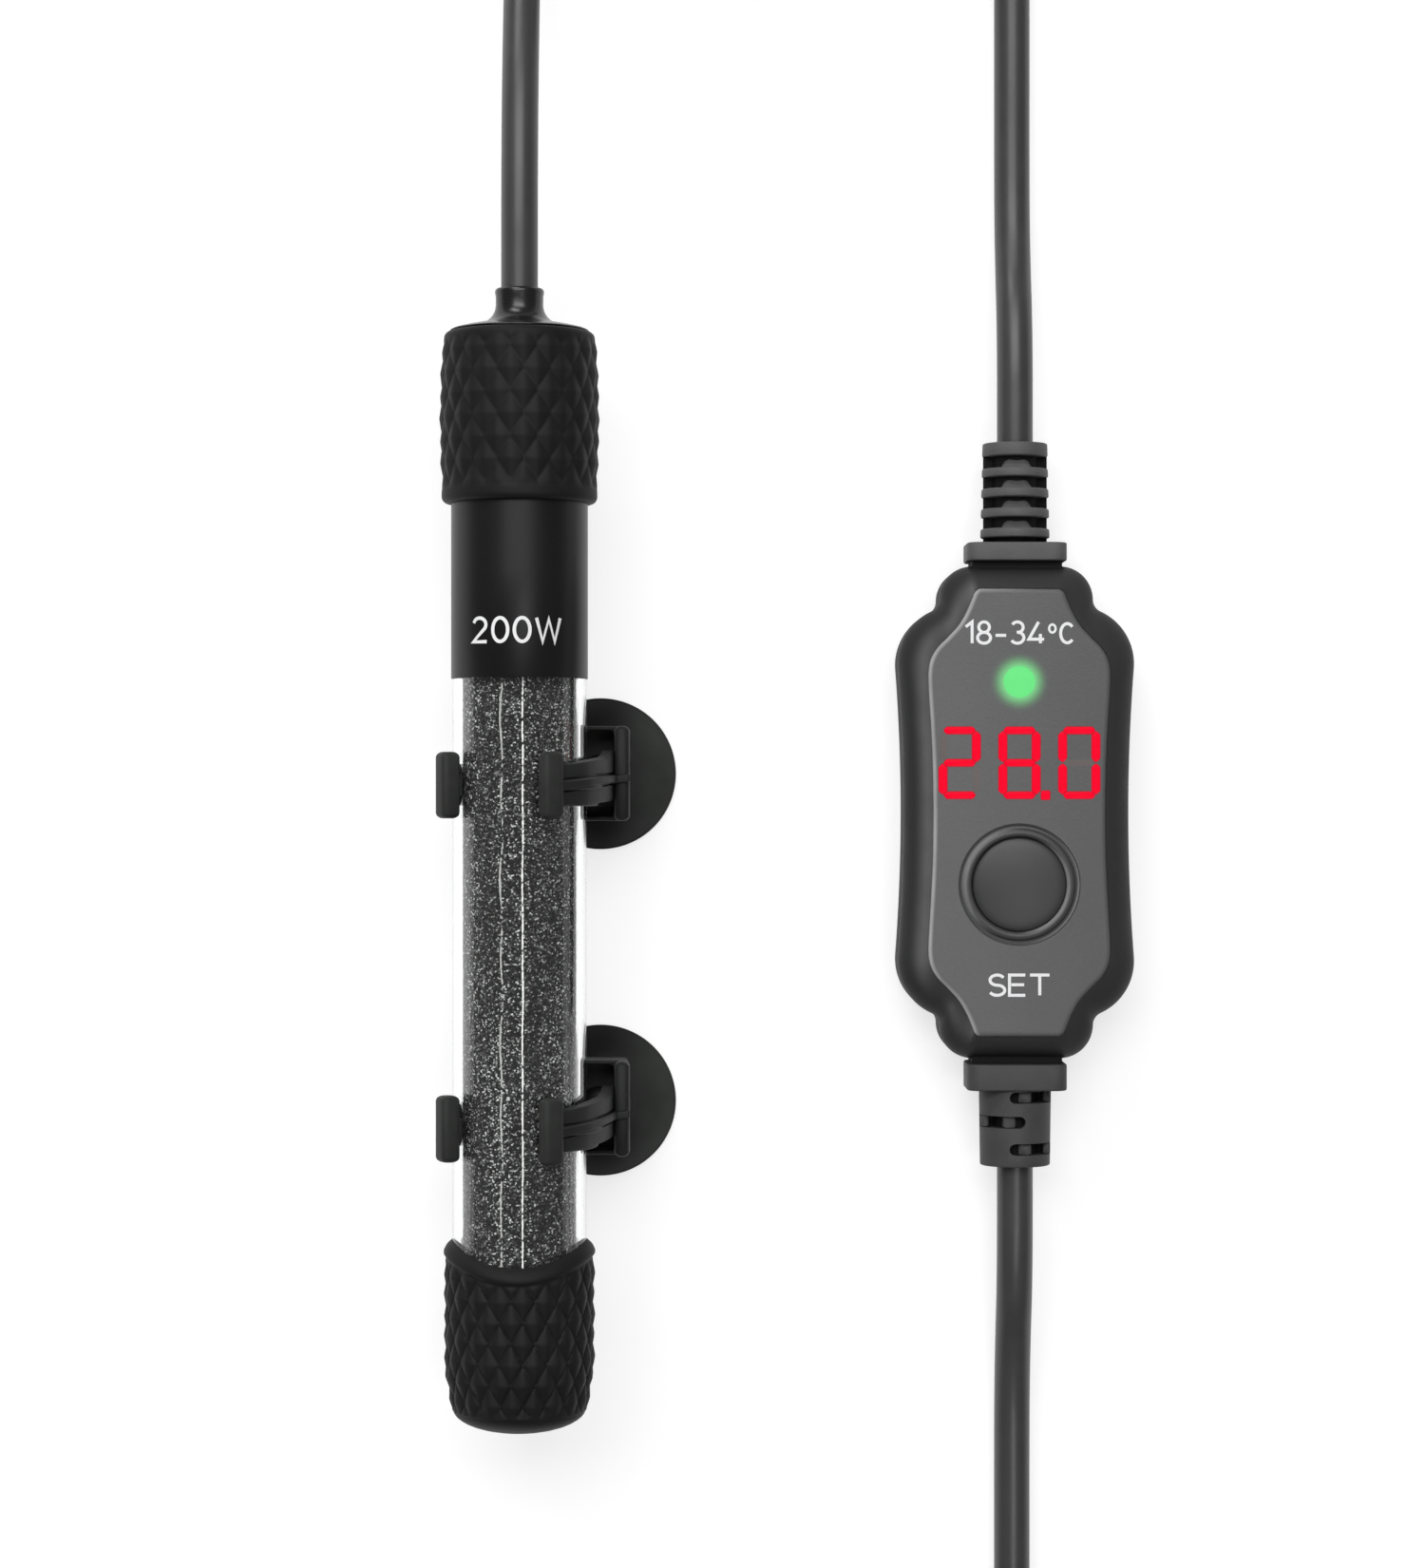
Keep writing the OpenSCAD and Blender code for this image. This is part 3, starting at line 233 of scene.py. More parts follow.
class Surface(Nodes):
    """One material under construction, with its main shader."""

    def __init__(self, name: str) -> None:
        """Makes a material of that name.

        Args:
            name: the name of the material.
        """
        self.material = bpy.data.materials.new(name)
        self.material.use_nodes = True
        super().__init__(self.material.node_tree)
        self.shader = self.tree.nodes["Principled BSDF"]
        self.place = self.node("TexCoord", output="Object")

    def set(self, **values: "Val | float | Sequence[float]") -> None:
        """Feeds the main shader's inputs, named with underscores for spaces."""
        for key, value in values.items():
            self.feed(self.shader.inputs[key.replace("_", " ")], value)

    def blend(self, kind: str, *shaders: "Val | None", factor: Val | None = None) -> Val:
        """Adds or mixes shaders; None stands for the main one."""
        links = [Val(self, self.shader.outputs[0]) if shader is None else shader for shader in shaders]
        return self.node(kind, None, dict(enumerate(links if factor is None else [factor, *links])))

    def cover(self, shader: Val) -> None:
        """Puts that shader on the material in place of the main one."""
        self.feed(self.tree.nodes["Material Output"].inputs["Surface"], shader)

    def vector(self, operation: str, first: Val, second: Point3, output: str = "Vector") -> Val:
        """Adds a Vector Math node."""
        return self.node("VectorMath", {"operation": operation}, {0: first, 1: second}, output)

    def stretched(self, scale: Point3) -> Val:
        """Place on the object, with each axis multiplied."""
        return self.vector("MULTIPLY", self.place, scale)

    def distance(self, point: Point3) -> Val:
        """Distance from a point of the object, in metres."""
        return self.vector("DISTANCE", self.place, point, "Value")

    def facing(self, way: Point3) -> Val:
        """How far the surface faces a direction, from -1 to 1."""
        normal = self.node("NewGeometry", output="Normal")
        return self.vector("DOT_PRODUCT", normal, way, "Value")

    def axis(self, letter: str) -> Val:
        """One coordinate of the place on the object."""
        return self.node("SeparateXYZ", None, {0: self.place}, letter)

    def noise(self, size: float, detail: float = 2.0, at: Val | None = None) -> Val:
        """Noise from 0 to 1 with features of about that size in millimetres."""
        sockets = {"Vector": at or self.place, "Scale": 1.0 / (size * MM), "Detail": detail}
        return self.node("TexNoise", None, sockets)

    def grains(self, size: float, output: str) -> Val:
        """Voronoi cells of about that size in millimetres: their Color or Distance."""
        return self.node("TexVoronoi", None, {"Vector": self.place, "Scale": 1.0 / (size * MM)}, output)

    def ramp(self, value: Val, stops: Sequence[tuple[float, Colour]]) -> Val:
        """Colour ramp over a value."""
        return self.node("ValToRGB", {"stops": stops}, {"Fac": value})

    def mix(self, factor: Val, low: "Val | Colour", high: "Val | Colour") -> Val:
        """Mix of two colours."""
        return self.node("Mix", {"data_type": "RGBA"}, {0: factor, 6: low, 7: high}, 2)

    def bump(self, height: Val, depth: float) -> None:
        """Feeds a height from 0 to 1 to the shader's normal, with that depth in millimetres."""
        sockets = {"Strength": 1.0, "Distance": depth * MM, "Height": height}
        self.set(Normal=self.node("Bump", None, sockets))


def tinted(colour: Colour, share: float) -> Colour:
    """A colour times a share, no brighter than white."""
    return tuple(min(1.0, c * share) for c in colour)


MADE: dict[str, bpy.types.Material] = {}


class Finish:
    """A finish that makes its material once."""

    name: str

    def paint(self, surface: Surface) -> None:
        """Fills the surface's nodes."""
        raise NotImplementedError

    def material(self) -> bpy.types.Material:
        """The finish's material, made on first use.

        Returns:
            The material.
        """
        if self.name not in MADE:
            surface = Surface(self.name)
            self.paint(surface)
            MADE[self.name] = surface.material
        return MADE[self.name]


@dataclass(frozen=True)
class Moulded(Finish):
    """Rubber or plastic from a mould: clouded colour, fine grain, uneven gloss."""

    name: str
    colour: Colour
    roughness: float = 0.5
    gloss_spread: float = 0.12
    cloud: float = 0.25
    cloud_size: float = 6.0
    grain: float = 0.25
    grain_depth: float = 0.012
    specular: float = 0.4
    stretch: Point3 = (1.0, 1.0, 1.0)

    def paint(self, surface: Surface) -> None:
        """Fills the surface's nodes.

        Args:
            surface: the material in the making.
        """
        at = surface.stretched(self.stretch)
        cloud = surface.noise(self.cloud_size, 3.0, at)
        grain = surface.noise(self.grain, 3.0, at)
        dark, pale = tinted(self.colour, 1.0 - self.cloud), tinted(self.colour, 1.0 + self.cloud)
        surface.set(
            Base_Color=surface.mix(0.7 * cloud + 0.3 * grain, dark, pale),
            Roughness=self.roughness + self.gloss_spread * (cloud + grain - 1.0),
            Specular_IOR_Level=self.specular,
        )
        surface.bump(grain, self.grain_depth)


@dataclass(frozen=True)
class Metal(Finish):
    """Drawn or plated metal with fine scratches along one axis."""

    name: str
    colour: Colour
    roughness: float = 0.3
    stretch: Point3 = (1.0, 0.05, 1.0)

    def paint(self, surface: Surface) -> None:
        """Fills the surface's nodes.

        Args:
            surface: the material in the making.
        """
        scratch = surface.noise(0.12, 4.0, surface.stretched(self.stretch))
        cloud = surface.noise(2.5)
        surface.set(
            Base_Color=surface.mix(cloud, tinted(self.colour, 0.78), self.colour),
            Metallic=1.0,
            Roughness=self.roughness + 0.25 * (scratch - 0.5),
        )
        surface.bump(scratch, 0.004)


@dataclass(frozen=True)
class Glass(Finish):
    """Clear borosilicate with faint drawing streaks; lamps reach the filling through it."""

    name: str = "tube_glass"
    colour: Colour = (0.985, 0.995, 0.99)
    index: float = 1.47

    def paint(self, surface: Surface) -> None:
        """Fills the surface's nodes.

        Args:
            surface: the material in the making.
        """
        streak = surface.noise(2.2, 2.0, surface.stretched((1.0, 0.03, 1.0)))
        surface.set(
            Base_Color=self.colour,
            Roughness=0.02 * streak.step(0.55, 0.9),
            IOR=self.index,
            Specular_IOR_Level=0.15,
            Transmission_Weight=1.0,
        )
        clear = surface.node("BsdfTransparent", None, {"Color": (0.96, 0.96, 0.96)})
        surface.cover(surface.blend("MixShader", None, clear, factor=surface.rays("Shadow")))


@dataclass(frozen=True)
class Sand(Finish):
    """Packed dark mineral grains with bright sparkling ones among them."""

    name: str = "packed_sand"
    grain: float = 0.27
    shades: tuple[Point2, ...] = ((0.0, 0.003), (0.58, 0.012), (0.79, 0.05), (0.91, 0.2), (0.99, 0.6))

    def paint(self, surface: Surface) -> None:
        """Fills the surface's nodes.

        Args:
            surface: the material in the making.
        """
        pick = surface.node("SeparateColor", None, {0: surface.grains(self.grain, "Color")})
        drift = surface.noise(6, 2.0, surface.stretched((1.0, 0.06, 1.0)))
        stops = [(place, (grey,) * 3) for place, grey in self.shades]
        surface.set(
            Base_Color=surface.ramp(pick + 0.24 * (drift - 0.5), stops),
            Roughness=0.25 + 0.5 * pick.beside(1),
            Specular_IOR_Level=0.12,
        )
        surface.bump(1.0 - surface.grains(self.grain, "Distance"), 0.25)


@dataclass(frozen=True)
class Glow(Finish):
    """A lit lens: coloured plastic that shines, a little unevenly."""

    name: str
    colour: Colour
    strength: float
    body: Colour

    def paint(self, surface: Surface) -> None:
        """Fills the surface's nodes.

        Args:
            surface: the material in the making.
        """
        cloud = surface.noise(1.2)
        surface.set(
            Base_Color=surface.mix(cloud, self.body, tinted(self.body, 1.3)),
            Roughness=0.3 + 0.1 * cloud,
            Emission_Color=surface.mix(cloud, tinted(self.colour, 0.94), self.colour),
            Emission_Strength=self.strength,
            Specular_IOR_Level=0.05,
        )


# Direction that the painted highlights on the case, the face's rim and the bezel face
PAINTED_LIGHT_SIDE: Point3 = (-0.98, 0.2, 0.0)


@dataclass(frozen=True)
class FacePlate(Finish):
    """Grained grey face of the controller, with painted light from the indicator spilling over it and painted shading
    that leaves its left side paler.
    """

    name: str = "face_plate"
    colour: Colour = (0.085, 0.085, 0.087)
    light: Point3 = (43.5 * MM, 33.4 * MM, 22 * MM)
    spill: Colour = (0.10, 0.62, 0.16)

    def paint(self, surface: Surface) -> None:
        """Fills the surface's nodes.

        Args:
            surface: the material in the making.
        """
        grain = surface.noise(0.42, 3.0)
        pebble = surface.grains(0.55, "Distance")
        cloud = surface.noise(14)
        low, high = tinted(self.colour, 0.66), tinted(self.colour, 1.42)
        # painted light: the face grows paler towards its left side
        painted_left_light = 1.0 - surface.axis("X").step(28.0 * MM, 60.0 * MM)
        near = 1.0 - surface.distance(self.light).step(2.2 * MM, 6.4 * MM)
        surface.set(
            Base_Color=surface.mix(0.42 * grain + 0.26 * cloud + 0.32 * painted_left_light, low, high),
            Roughness=0.46 + 0.2 * (grain - 0.5),
            Specular_IOR_Level=0.4,
            Emission_Color=surface.mix(near * near, (0.0, 0.0, 0.0), self.spill),
            Emission_Strength=1.0,
        )
        surface.bump(0.6 * grain + 0.4 * pebble, 0.05)


@dataclass(frozen=True)
class PaintedSideHighlight(Finish):
    """Moulded piece with a painted highlight: pale in patches on the side that faces one way."""

    name: str
    colour: Colour
    pale: Colour
    facing: Point2
    side: Point3 = PAINTED_LIGHT_SIDE
    depth: float = 0.04
    specular: float = 0.4

    def paint(self, surface: Surface) -> None:
        """Fills the surface's nodes.

        Args:
            surface: the material in the making.
        """
        grain = surface.noise(0.42, 3.0)
        patch = surface.noise(7, 3.0)
        # painted highlight: paler where the surface faces the given side
        painted_highlight = surface.facing(self.side).step(*self.facing) * (0.45 + 0.75 * patch)
        surface.set(
            Base_Color=surface.mix(painted_highlight, self.colour, self.pale),
            Roughness=0.46 + 0.2 * (grain - 0.5),
            Specular_IOR_Level=self.specular,
        )
        surface.bump(grain, self.depth)


@dataclass(frozen=True)
class CasePlastic(Finish):
    """Grained case plastic with painted shading, paler towards the face and darker towards the table, and a painted
    highlight on its left-facing crest.
    """

    name: str = "case_plastic"
    low: Colour = (0.006, 0.006, 0.0062)
    high: Colour = (0.036, 0.036, 0.0366)
    crest_highlight: Colour = (0.115, 0.115, 0.116)
    span: Point2 = (13.0 * MM, 21.9 * MM)
    crest_span: Point2 = (18.0 * MM, 21.9 * MM)

    def paint(self, surface: Surface) -> None:
        """Fills the surface's nodes.

        Args:
            surface: the material in the making.
        """
        grain = surface.noise(0.35, 3.0)
        cloud = surface.noise(8)
        # painted shade by height, and a painted highlight on the crest where it faces left
        painted_height_shade = surface.axis("Z").step(*self.span)
        painted_highlight = surface.axis("Z").step(*self.crest_span) * surface.facing(PAINTED_LIGHT_SIDE).step(0.12, 0.6)
        plain = surface.mix(painted_height_shade * (0.7 + 0.3 * grain + 0.3 * cloud), self.low, self.high)
        surface.set(
            Base_Color=surface.mix(painted_highlight * painted_highlight * (0.6 + 0.8 * cloud), plain, self.crest_highlight),
            Roughness=0.5 + 0.14 * (grain + cloud - 1.0),
            Specular_IOR_Level=0.08,
        )
        surface.bump(grain, 0.03)


# Moulded: name, colour, roughness, gloss spread, cloud, its size, grain size and depth in millimetres, specular
GRIP = Moulded("cap_rubber", (0.0078, 0.0078, 0.0078), 0.58, 0.1, 0.22, 5, 0.2, 0.008, 0.18)
BOOT = Moulded("flare_rubber", (0.006, 0.006, 0.006), 0.27, 0.06, 0.2, 4, 0.15, 0.003, 0.5)
SLEEVE = Moulded(
    "sleeve_film", (0.0055, 0.0055, 0.0055), 0.38, 0.06, 0.15, 3, 0.12, 0.002, 0.3, (1.0, 0.1, 1.0)
)
CLIP = Moulded("clip_plastic", (0.0158, 0.0172, 0.016), 0.52, 0.12, 0.3, 3, 0.22, 0.008, 0.16)
# painted light: a paler copy of the clip plastic for the finger bars, which catch more light
FINGER_LIT_COPY = Moulded("finger_plastic", (0.0235, 0.025, 0.0236), 0.52, 0.12, 0.4, 3, 0.22, 0.008, 0.16)
# painted highlight on the side of the cup that faces +X
CUP = PaintedSideHighlight("cup_rubber", (0.0045, 0.005, 0.0046), (0.04, 0.043, 0.04), (-0.02, 0.58), (1.0, -0.1, 0.0), 0.006, 0.2)
RELIEF = Moulded("relief_rubber", (0.087, 0.087, 0.088), 0.56, 0.12, 0.3, 4, 0.4, 0.04, 0.3)
RELIEF_LOW = Moulded("low_relief_rubber", (0.052, 0.052, 0.053), 0.56, 0.12, 0.3, 4, 0.4, 0.04, 0.3)
# painted shade: near-black rubber for the core that shows in the grooves and slots
RELIEF_SHADE_CORE = Moulded("relief_core_rubber", (0.009, 0.009, 0.009), 0.7, 0.1, 0.3, 3, 0.4, 0.03, 0.1)
CORD = Moulded("cord_sheath", (0.04, 0.04, 0.04), 0.36, 0.08, 0.2, 5, 0.25, 0.005, 0.5)
TIE = Moulded("tie_strap", (0.03, 0.03, 0.032), 0.7, 0.1, 0.3, 2, 0.2, 0.03, 0.3)
PLUG = Moulded("plug_rubber", (0.016, 0.016, 0.017), 0.5, 0.12, 0.2, 5, 0.25, 0.015, 0.4)
BUTTON = Moulded("button_plastic", (0.034, 0.034, 0.0345), 0.42, 0.08, 0.12, 6, 0.25, 0.004, 0.4)
INK = Moulded("label_ink", (0.78, 0.78, 0.79), 0.5, 0.08, 0.06, 1, 0.1, 0.002, 0.3)
UNLIT = Moulded("unlit_segment", (0.104, 0.087, 0.085), 0.46, 0.1, 0.26, 5, 0.42, 0.03, 0.4)
LIT = Glow("lit_segment", (1.0, 0.0, 0.026), 1.0, (0.004, 0.0, 0.0))
# painted glow round the lit segments, spilling onto the face
HALO = Glow("segment_halo", (0.42, 0.008, 0.024), 1.0, (0.02, 0.01, 0.01))
LAMP = Glow("lit_indicator", (0.165, 0.84, 0.25), 1.0, (0.004, 0.02, 0.006))
GLASS = Glass()
SAND = Sand()
FACE = FacePlate()
# painted highlight on the bezel's left side
RING = PaintedSideHighlight("ring_plastic", (0.05, 0.05, 0.051), (0.26, 0.26, 0.262), (0.1, 0.7))
# painted highlight along the left side of the face's rim
FACE_RIM = PaintedSideHighlight("face_rim", (0.082, 0.082, 0.084), (0.36, 0.36, 0.362), (-0.02, 0.34))
CASE = CasePlastic()
PIN_METAL = Metal("pin_metal", (0.75, 0.73, 0.68), 0.28)
PIN_SLEEVE = Moulded("pin_sleeve", (0.02, 0.02, 0.02), 0.45, 0.1, 0.2, 3, 0.2, 0.006, 0.4)
BRIGHT_WIRE = Moulded("pale_wire", (0.72, 0.72, 0.7), 0.4, 0.15, 0.3, 1, 0.3, 0.02, 0.5)
HEATING_WIRE = Metal("heating_wire", (0.55, 0.42, 0.32), 0.4, (1.0, 1.0, 1.0))
DIM_WIRE = Moulded("grey_wire", (0.36, 0.36, 0.35), 0.45, 0.15, 0.45, 1, 0.3, 0.02, 0.5)

INNER_FINISHES: dict[str, Finish] = {
    "tube_seal": Moulded("seal_rubber", (0.3, 0.07, 0.04), 0.5),
    "stopper": Moulded("stopper_cement", (0.55, 0.52, 0.46), 0.8, 0.1, 0.2, 3, 0.4, 0.06),
    "foot_pad": Moulded("pad_foam", (0.6, 0.6, 0.57), 0.85, 0.08, 0.15, 3, 0.5, 0.08),
    "ceramic_former": Moulded("former_ceramic", (0.7, 0.67, 0.6), 0.6, 0.1, 0.12, 4, 0.3, 0.02),
    "base_disc": Moulded("disc_ceramic", (0.66, 0.63, 0.57), 0.65, 0.1, 0.12, 3, 0.3, 0.02),
    "retaining_disc": Moulded("disc_mica", (0.62, 0.6, 0.55), 0.6, 0.1, 0.15, 2, 0.3, 0.02),
    "thermal_sensor": Moulded("sensor_epoxy", (0.03, 0.05, 0.03), 0.3),
    "thermal_fuse": Metal("fuse_can", (0.6, 0.53, 0.38), 0.35),
    "element_wires": Moulded("wire_sheath", (0.5, 0.1, 0.05), 0.45),
    "case_gasket": Moulded("gasket_foam", (0.07, 0.07, 0.07), 0.85, 0.1, 0.2, 2, 0.3, 0.05),
    "case_screws": Metal("screw_zinc", (0.6, 0.6, 0.6), 0.32, (1.0, 1.0, 1.0)),
    "circuit_board": Moulded("board_laminate", (0.02, 0.13, 0.05), 0.4, 0.1, 0.2, 4, 0.6, 0.02),
    "display_module": Moulded("module_epoxy", (0.03, 0.03, 0.03), 0.4),
    "indicator_chip": Moulded("chip_phosphor", (0.8, 0.78, 0.5), 0.4),
    "switch_body": Moulded("switch_nylon", (0.02, 0.02, 0.02), 0.5),
    "switch_plunger": Moulded("plunger_nylon", (0.4, 0.33, 0.2), 0.5),
    "power_relay": Moulded("relay_case", (0.02, 0.04, 0.2), 0.4),
    "mains_capacitor": Moulded("capacitor_epoxy", (0.55, 0.25, 0.03), 0.35),
    "control_chip": Moulded("chip_epoxy", (0.015, 0.015, 0.015), 0.5),
    "element_terminal": Moulded("terminal_nylon", (0.03, 0.18, 0.07), 0.45),
    "mains_terminal": Moulded("terminal_nylon", (0.03, 0.18, 0.07), 0.45),
}


# Mesh building


TINY = 1e-6
BLOCK_CREASE = 46.0
PLATE_CREASE = 35.0
LETTER_CREASE = 30.0


def link(data: bpy.types.ID, name: str) -> Piece:
    """Puts a mesh, curve, lamp or camera into the scene as an object of that name.

    Args:
        data: what the object shows.
        name: its name.

    Returns:
        The new object.
    """
    data.name = name
    piece = bpy.data.objects.new(name, data)
    bpy.context.scene.collection.objects.link(piece)
    return piece


def shade(piece: Piece, crease: float) -> None:
    """Smooth shading, with edges sharper than that many degrees kept crisp."""
    piece.data.polygons.foreach_set("use_smooth", [True] * len(piece.data.polygons))
    piece.data.set_sharp_from_angle(angle=radians(crease))


@contextmanager
def reworked(piece: Piece) -> Iterator[bmesh.types.BMesh]:
    """Opens a piece's mesh for changes and then writes it back.

    Args:
        piece: the piece to change.

    Returns:
        The open mesh, as a context.
    """
    work = bmesh.new()
    work.from_mesh(piece.data)
    yield work
    work.to_mesh(piece.data)
    work.free()


def frozen(piece: Piece) -> Piece:
    """Replaces an object by a mesh object of its evaluated shape.

    Args:
        piece: a curve, text or mesh with modifiers; it is removed.

    Returns:
        The new mesh object, under the old name.
    """
    name = piece.name
    bpy.context.view_layer.update()
    shape = bpy.data.meshes.new_from_object(piece.evaluated_get(bpy.context.evaluated_depsgraph_get()))
    shape.transform(piece.matrix_world)
    bpy.data.objects.remove(piece)
    return link(shape, name)


def skin(name: str, rings: Sequence[Sequence[Point3]], loop: bool = False, crease: float = 40.0) -> Piece:
    """Joins rings of points into one closed skin.

    Args:
        name: the piece's name.
        rings: rings of equal length, in millimetres; a ring of one point is a pole.
        loop: whether the last ring joins the first; otherwise end rings are filled.
        crease: sharpest turn in degrees that is shaded smooth.

    Returns:
        The new mesh object.
    """
    work = bmesh.new()
    made = [[work.verts.new([c * MM for c in p]) for p in ring] for ring in rings]
    pairs = list(zip(made, made[1:])) + ([(made[-1], made[0])] if loop else [])
    for low, high in pairs:
        count = max(len(low), len(high))
        for k in range(count):
            corners = [low[k % len(low)], low[(k + 1) % len(low)], high[(k + 1) % len(high)], high[k % len(high)]]
            face = list(dict.fromkeys(corners))
            if len(face) > 2:
                work.faces.new(face)
    if not loop:
        for end in (made[0], made[-1]):
            if len(end) > 2:
                work.faces.new(end)
    bmesh.ops.recalc_face_normals(work, faces=work.faces)
    mesh = bpy.data.meshes.new(name)
    work.to_mesh(mesh)
    work.free()
    piece = link(mesh, name)
    shade(piece, crease)
    return piece


def filleted(corners: Sequence[tuple[float, float, float]], steps: int = 5) -> list[Point2]:
    """Rounds the corners of a closed outline.

    Args:
        corners: x, y and the rounding radius of each corner.
        steps: points on each rounding, less one.

    Returns:
        The outline's points.
    """
    result: list[Point2] = []
    count = len(corners)
    for i, (x, y, radius) in enumerate(corners):
        here = Vector((x, y))
        before = Vector(corners[i - 1][:2]) - here
        after = Vector(corners[(i + 1) % count][:2]) - here
        half = before.angle(after) / 2
        reach = min(radius / tan(half), 0.49 * before.length, 0.49 * after.length) if radius > 0 else 0.0
        if reach < TINY:
            result.append((x, y))
            continue
        start, end = here + before.normalized() * reach, here + after.normalized() * reach
        for k in range(steps + 1):
            t = k / steps
            spot = start * (1 - t) ** 2 + here * (2 * t * (1 - t)) + end * t**2
            result.append((spot.x, spot.y))
    return result


def polar(centre: Point2, radius: float, turn: float) -> Point2:
    """Point at a radius and an angle in radians from a centre."""
    return (centre[0] + radius * cos(turn), centre[1] + radius * sin(turn))


def arc(centre: Point2, radius: float, start: float, end: float, steps: int) -> list[Point2]:
    """Points on an arc between two angles in degrees."""
    return [polar(centre, radius, radians(start + (end - start) * i / steps)) for i in range(steps + 1)]


def smooth_step(value: float, low: float, high: float) -> float:
    """Smooth step from 0 at low to 1 at high."""
    t = min(1.0, max(0.0, (value - low) / (high - low)))
    return t * t * (3 - 2 * t)


def turns(count: int) -> list[float]:
    """Angles of a full turn in that many steps, in radians."""
    return [2 * pi * k / count for k in range(count)]


def edge_round(radius: float, past: float) -> float:
    """How far a rounded edge draws a wall in, that far past the start of its rounding."""
    return radius - sqrt(max(0.0, radius**2 - max(0.0, past) ** 2))


def running_lengths(line: Sequence[Point2]) -> list[float]:
    """Length along a line up to each of its points."""
    return list(accumulate((dist(a, b) for a, b in zip(line, line[1:])), initial=0.0))


def lathe(name: str, profile: Sequence[Point2], place: Place, count: int = 96) -> Piece:
    """Turns a closed profile round an axis.

    Args:
        name: the piece's name.
        profile: radius and height of each point, in millimetres; radius 0 is on the axis.
        place: maps radius, angle in radians and height to a point.
        count: points round the axis.

    Returns:
        The new mesh object.
    """
    ways = turns(count)
    rings = [[place(0.0, 0.0, h)] if r < TINY else [place(r, a, h) for a in ways] for r, h in profile]
    poles = [len(ring) == 1 for ring in rings]
    return skin(name, rings, loop=not (poles[0] and poles[-1]))


def polyline(name: str, lines: Sequence[Sequence[Sequence[float]]], closed: bool) -> bpy.types.Curve:
    """Curve through points in millimetres; closed lines are flat outlines.

    Args:
        name: the name of the curve.
        lines: points of each line.
        closed: whether each line closes.

    Returns:
        The curve.
    """
    curve = bpy.data.curves.new(name, "CURVE")
    curve.dimensions = "2D" if closed else "3D"
    for line in lines:
        spline = curve.splines.new("POLY")
        spline.points.add(len(line) - 1)
        for point, spot in zip(spline.points, line):
            point.co = (*(c * MM for c in (*spot, 0.0)[:3]), 1.0)
        spline.use_cyclic_u = closed
    return curve


def plate(
    name: str, outlines: Sequence[Sequence[Point2]], low: float, high: float, edge: float = 0.0
) -> Piece:
    """Flat plate with rounded edges, from outlines and the holes within them.

    Args:
        name: the piece's name.
        outlines: closed outlines in millimetres.
        low: height of its underside.
        high: height of its upper side.
        edge: radius of its edges.

    Returns:
        The new mesh object.
    """
    curve = polyline(name, outlines, closed=True)
    curve.fill_mode = "BOTH"
    curve.extrude = ((high - low) / 2 - edge) * MM
    if edge > 0:
        curve.bevel_depth = edge * MM
        curve.bevel_resolution = 2
        curve.offset = -edge * MM
    piece = link(curve, name)
    piece.location.z = (low + high) / 2 * MM
    made = frozen(piece)
    with reworked(made) as work:
        bmesh.ops.remove_doubles(work, verts=work.verts, dist=0.1 * TINY)
        bmesh.ops.recalc_face_normals(work, faces=work.faces)
    shade(made, PLATE_CREASE)
    return made


def absorb(piece: Piece, extra: Piece, crease: float = BLOCK_CREASE) -> None:
    """Adds another piece's mesh to a piece and removes that other piece.

    Args:
        piece: what grows.
        extra: what is added.
        crease: sharpest turn that is shaded smooth.
    """
    with reworked(piece) as work:
        work.from_mesh(extra.data)
    bpy.data.objects.remove(extra)
    shade(piece, crease)


def joined(pieces: Sequence[Piece], crease: float) -> Piece:
    """Adds the meshes of the other pieces to the first.

    Args:
        pieces: pieces that make up one.
        crease: sharpest turn that is shaded smooth.

    Returns:
        The first piece.
    """
    for extra in pieces[1:]:
        absorb(pieces[0], extra, crease)
    return pieces[0]


def rounded_block(
    name: str, half: Point2, corner: float, ends: Point2, edge: float, place: Place
) -> Piece:
    """Oblong block with rounded corners and edges.

    Args:
        name: the piece's name.
        half: half of its width and height.
        corner: radius of its corners.
        ends: where it starts and stops along its length.
        edge: radius of its end edges.
        place: maps across, along and up to a point.

    Returns:
        The new mesh object.
    """
    rings = []
    for end, into in ((ends[0], 1), (ends[1], -1)):
        steps = []
        for angle in (0, 30, 60, 90):
            a = radians(angle)
            inset, along = edge * (1 - sin(a)), end + into * edge * (1 - cos(a))
            w, h, r = half[0] - inset, half[1] - inset, max(0.1, corner - inset)
            shape = filleted([(w, -h, r), (w, h, r), (-w, h, r), (-w, -h, r)], 6)
            steps.append([place(x, along, z) for x, z in shape])
        rings += steps if into == 1 else steps[::-1]
    return skin(name, rings, crease=BLOCK_CREASE)


def strand(name: str, route: Sequence[Point3], radius: float) -> Piece:
    """Round wire along a route in millimetres, as a mesh.

    Args:
        name: the name of the piece.
        route: points along its middle.
        radius: half of its thickness.

    Returns:
        The new mesh object.
    """
    curve = polyline(name, [route], closed=False)
    curve.bevel_depth = radius * MM
    curve.bevel_resolution = 3
    curve.use_fill_caps = True
    made = frozen(link(curve, name))
    shade(made, 60.0)
    return made


def groove(at: float, first: float, pitch: float, count: int, width: float) -> float:
    """Depth share at a place along a row of rounded grooves."""
    near = min(abs(at - first - pitch * i) for i in range(count))
    return 0.5 + 0.5 * cos(2 * pi * near / width) if near < width / 2 else 0.0


def bow(cx: float, cy: float, rx: float, ry: float, start: float = 0.0, end: float = 360.0) -> list[Point2]:
    """Points on part of an ellipse between two angles in degrees."""
    steps = max(5, int(abs(end - start) / 11))
    return [(cx + rx * x, cy + ry * y) for x, y in arc((0.0, 0.0), 1.0, start, end, steps)]


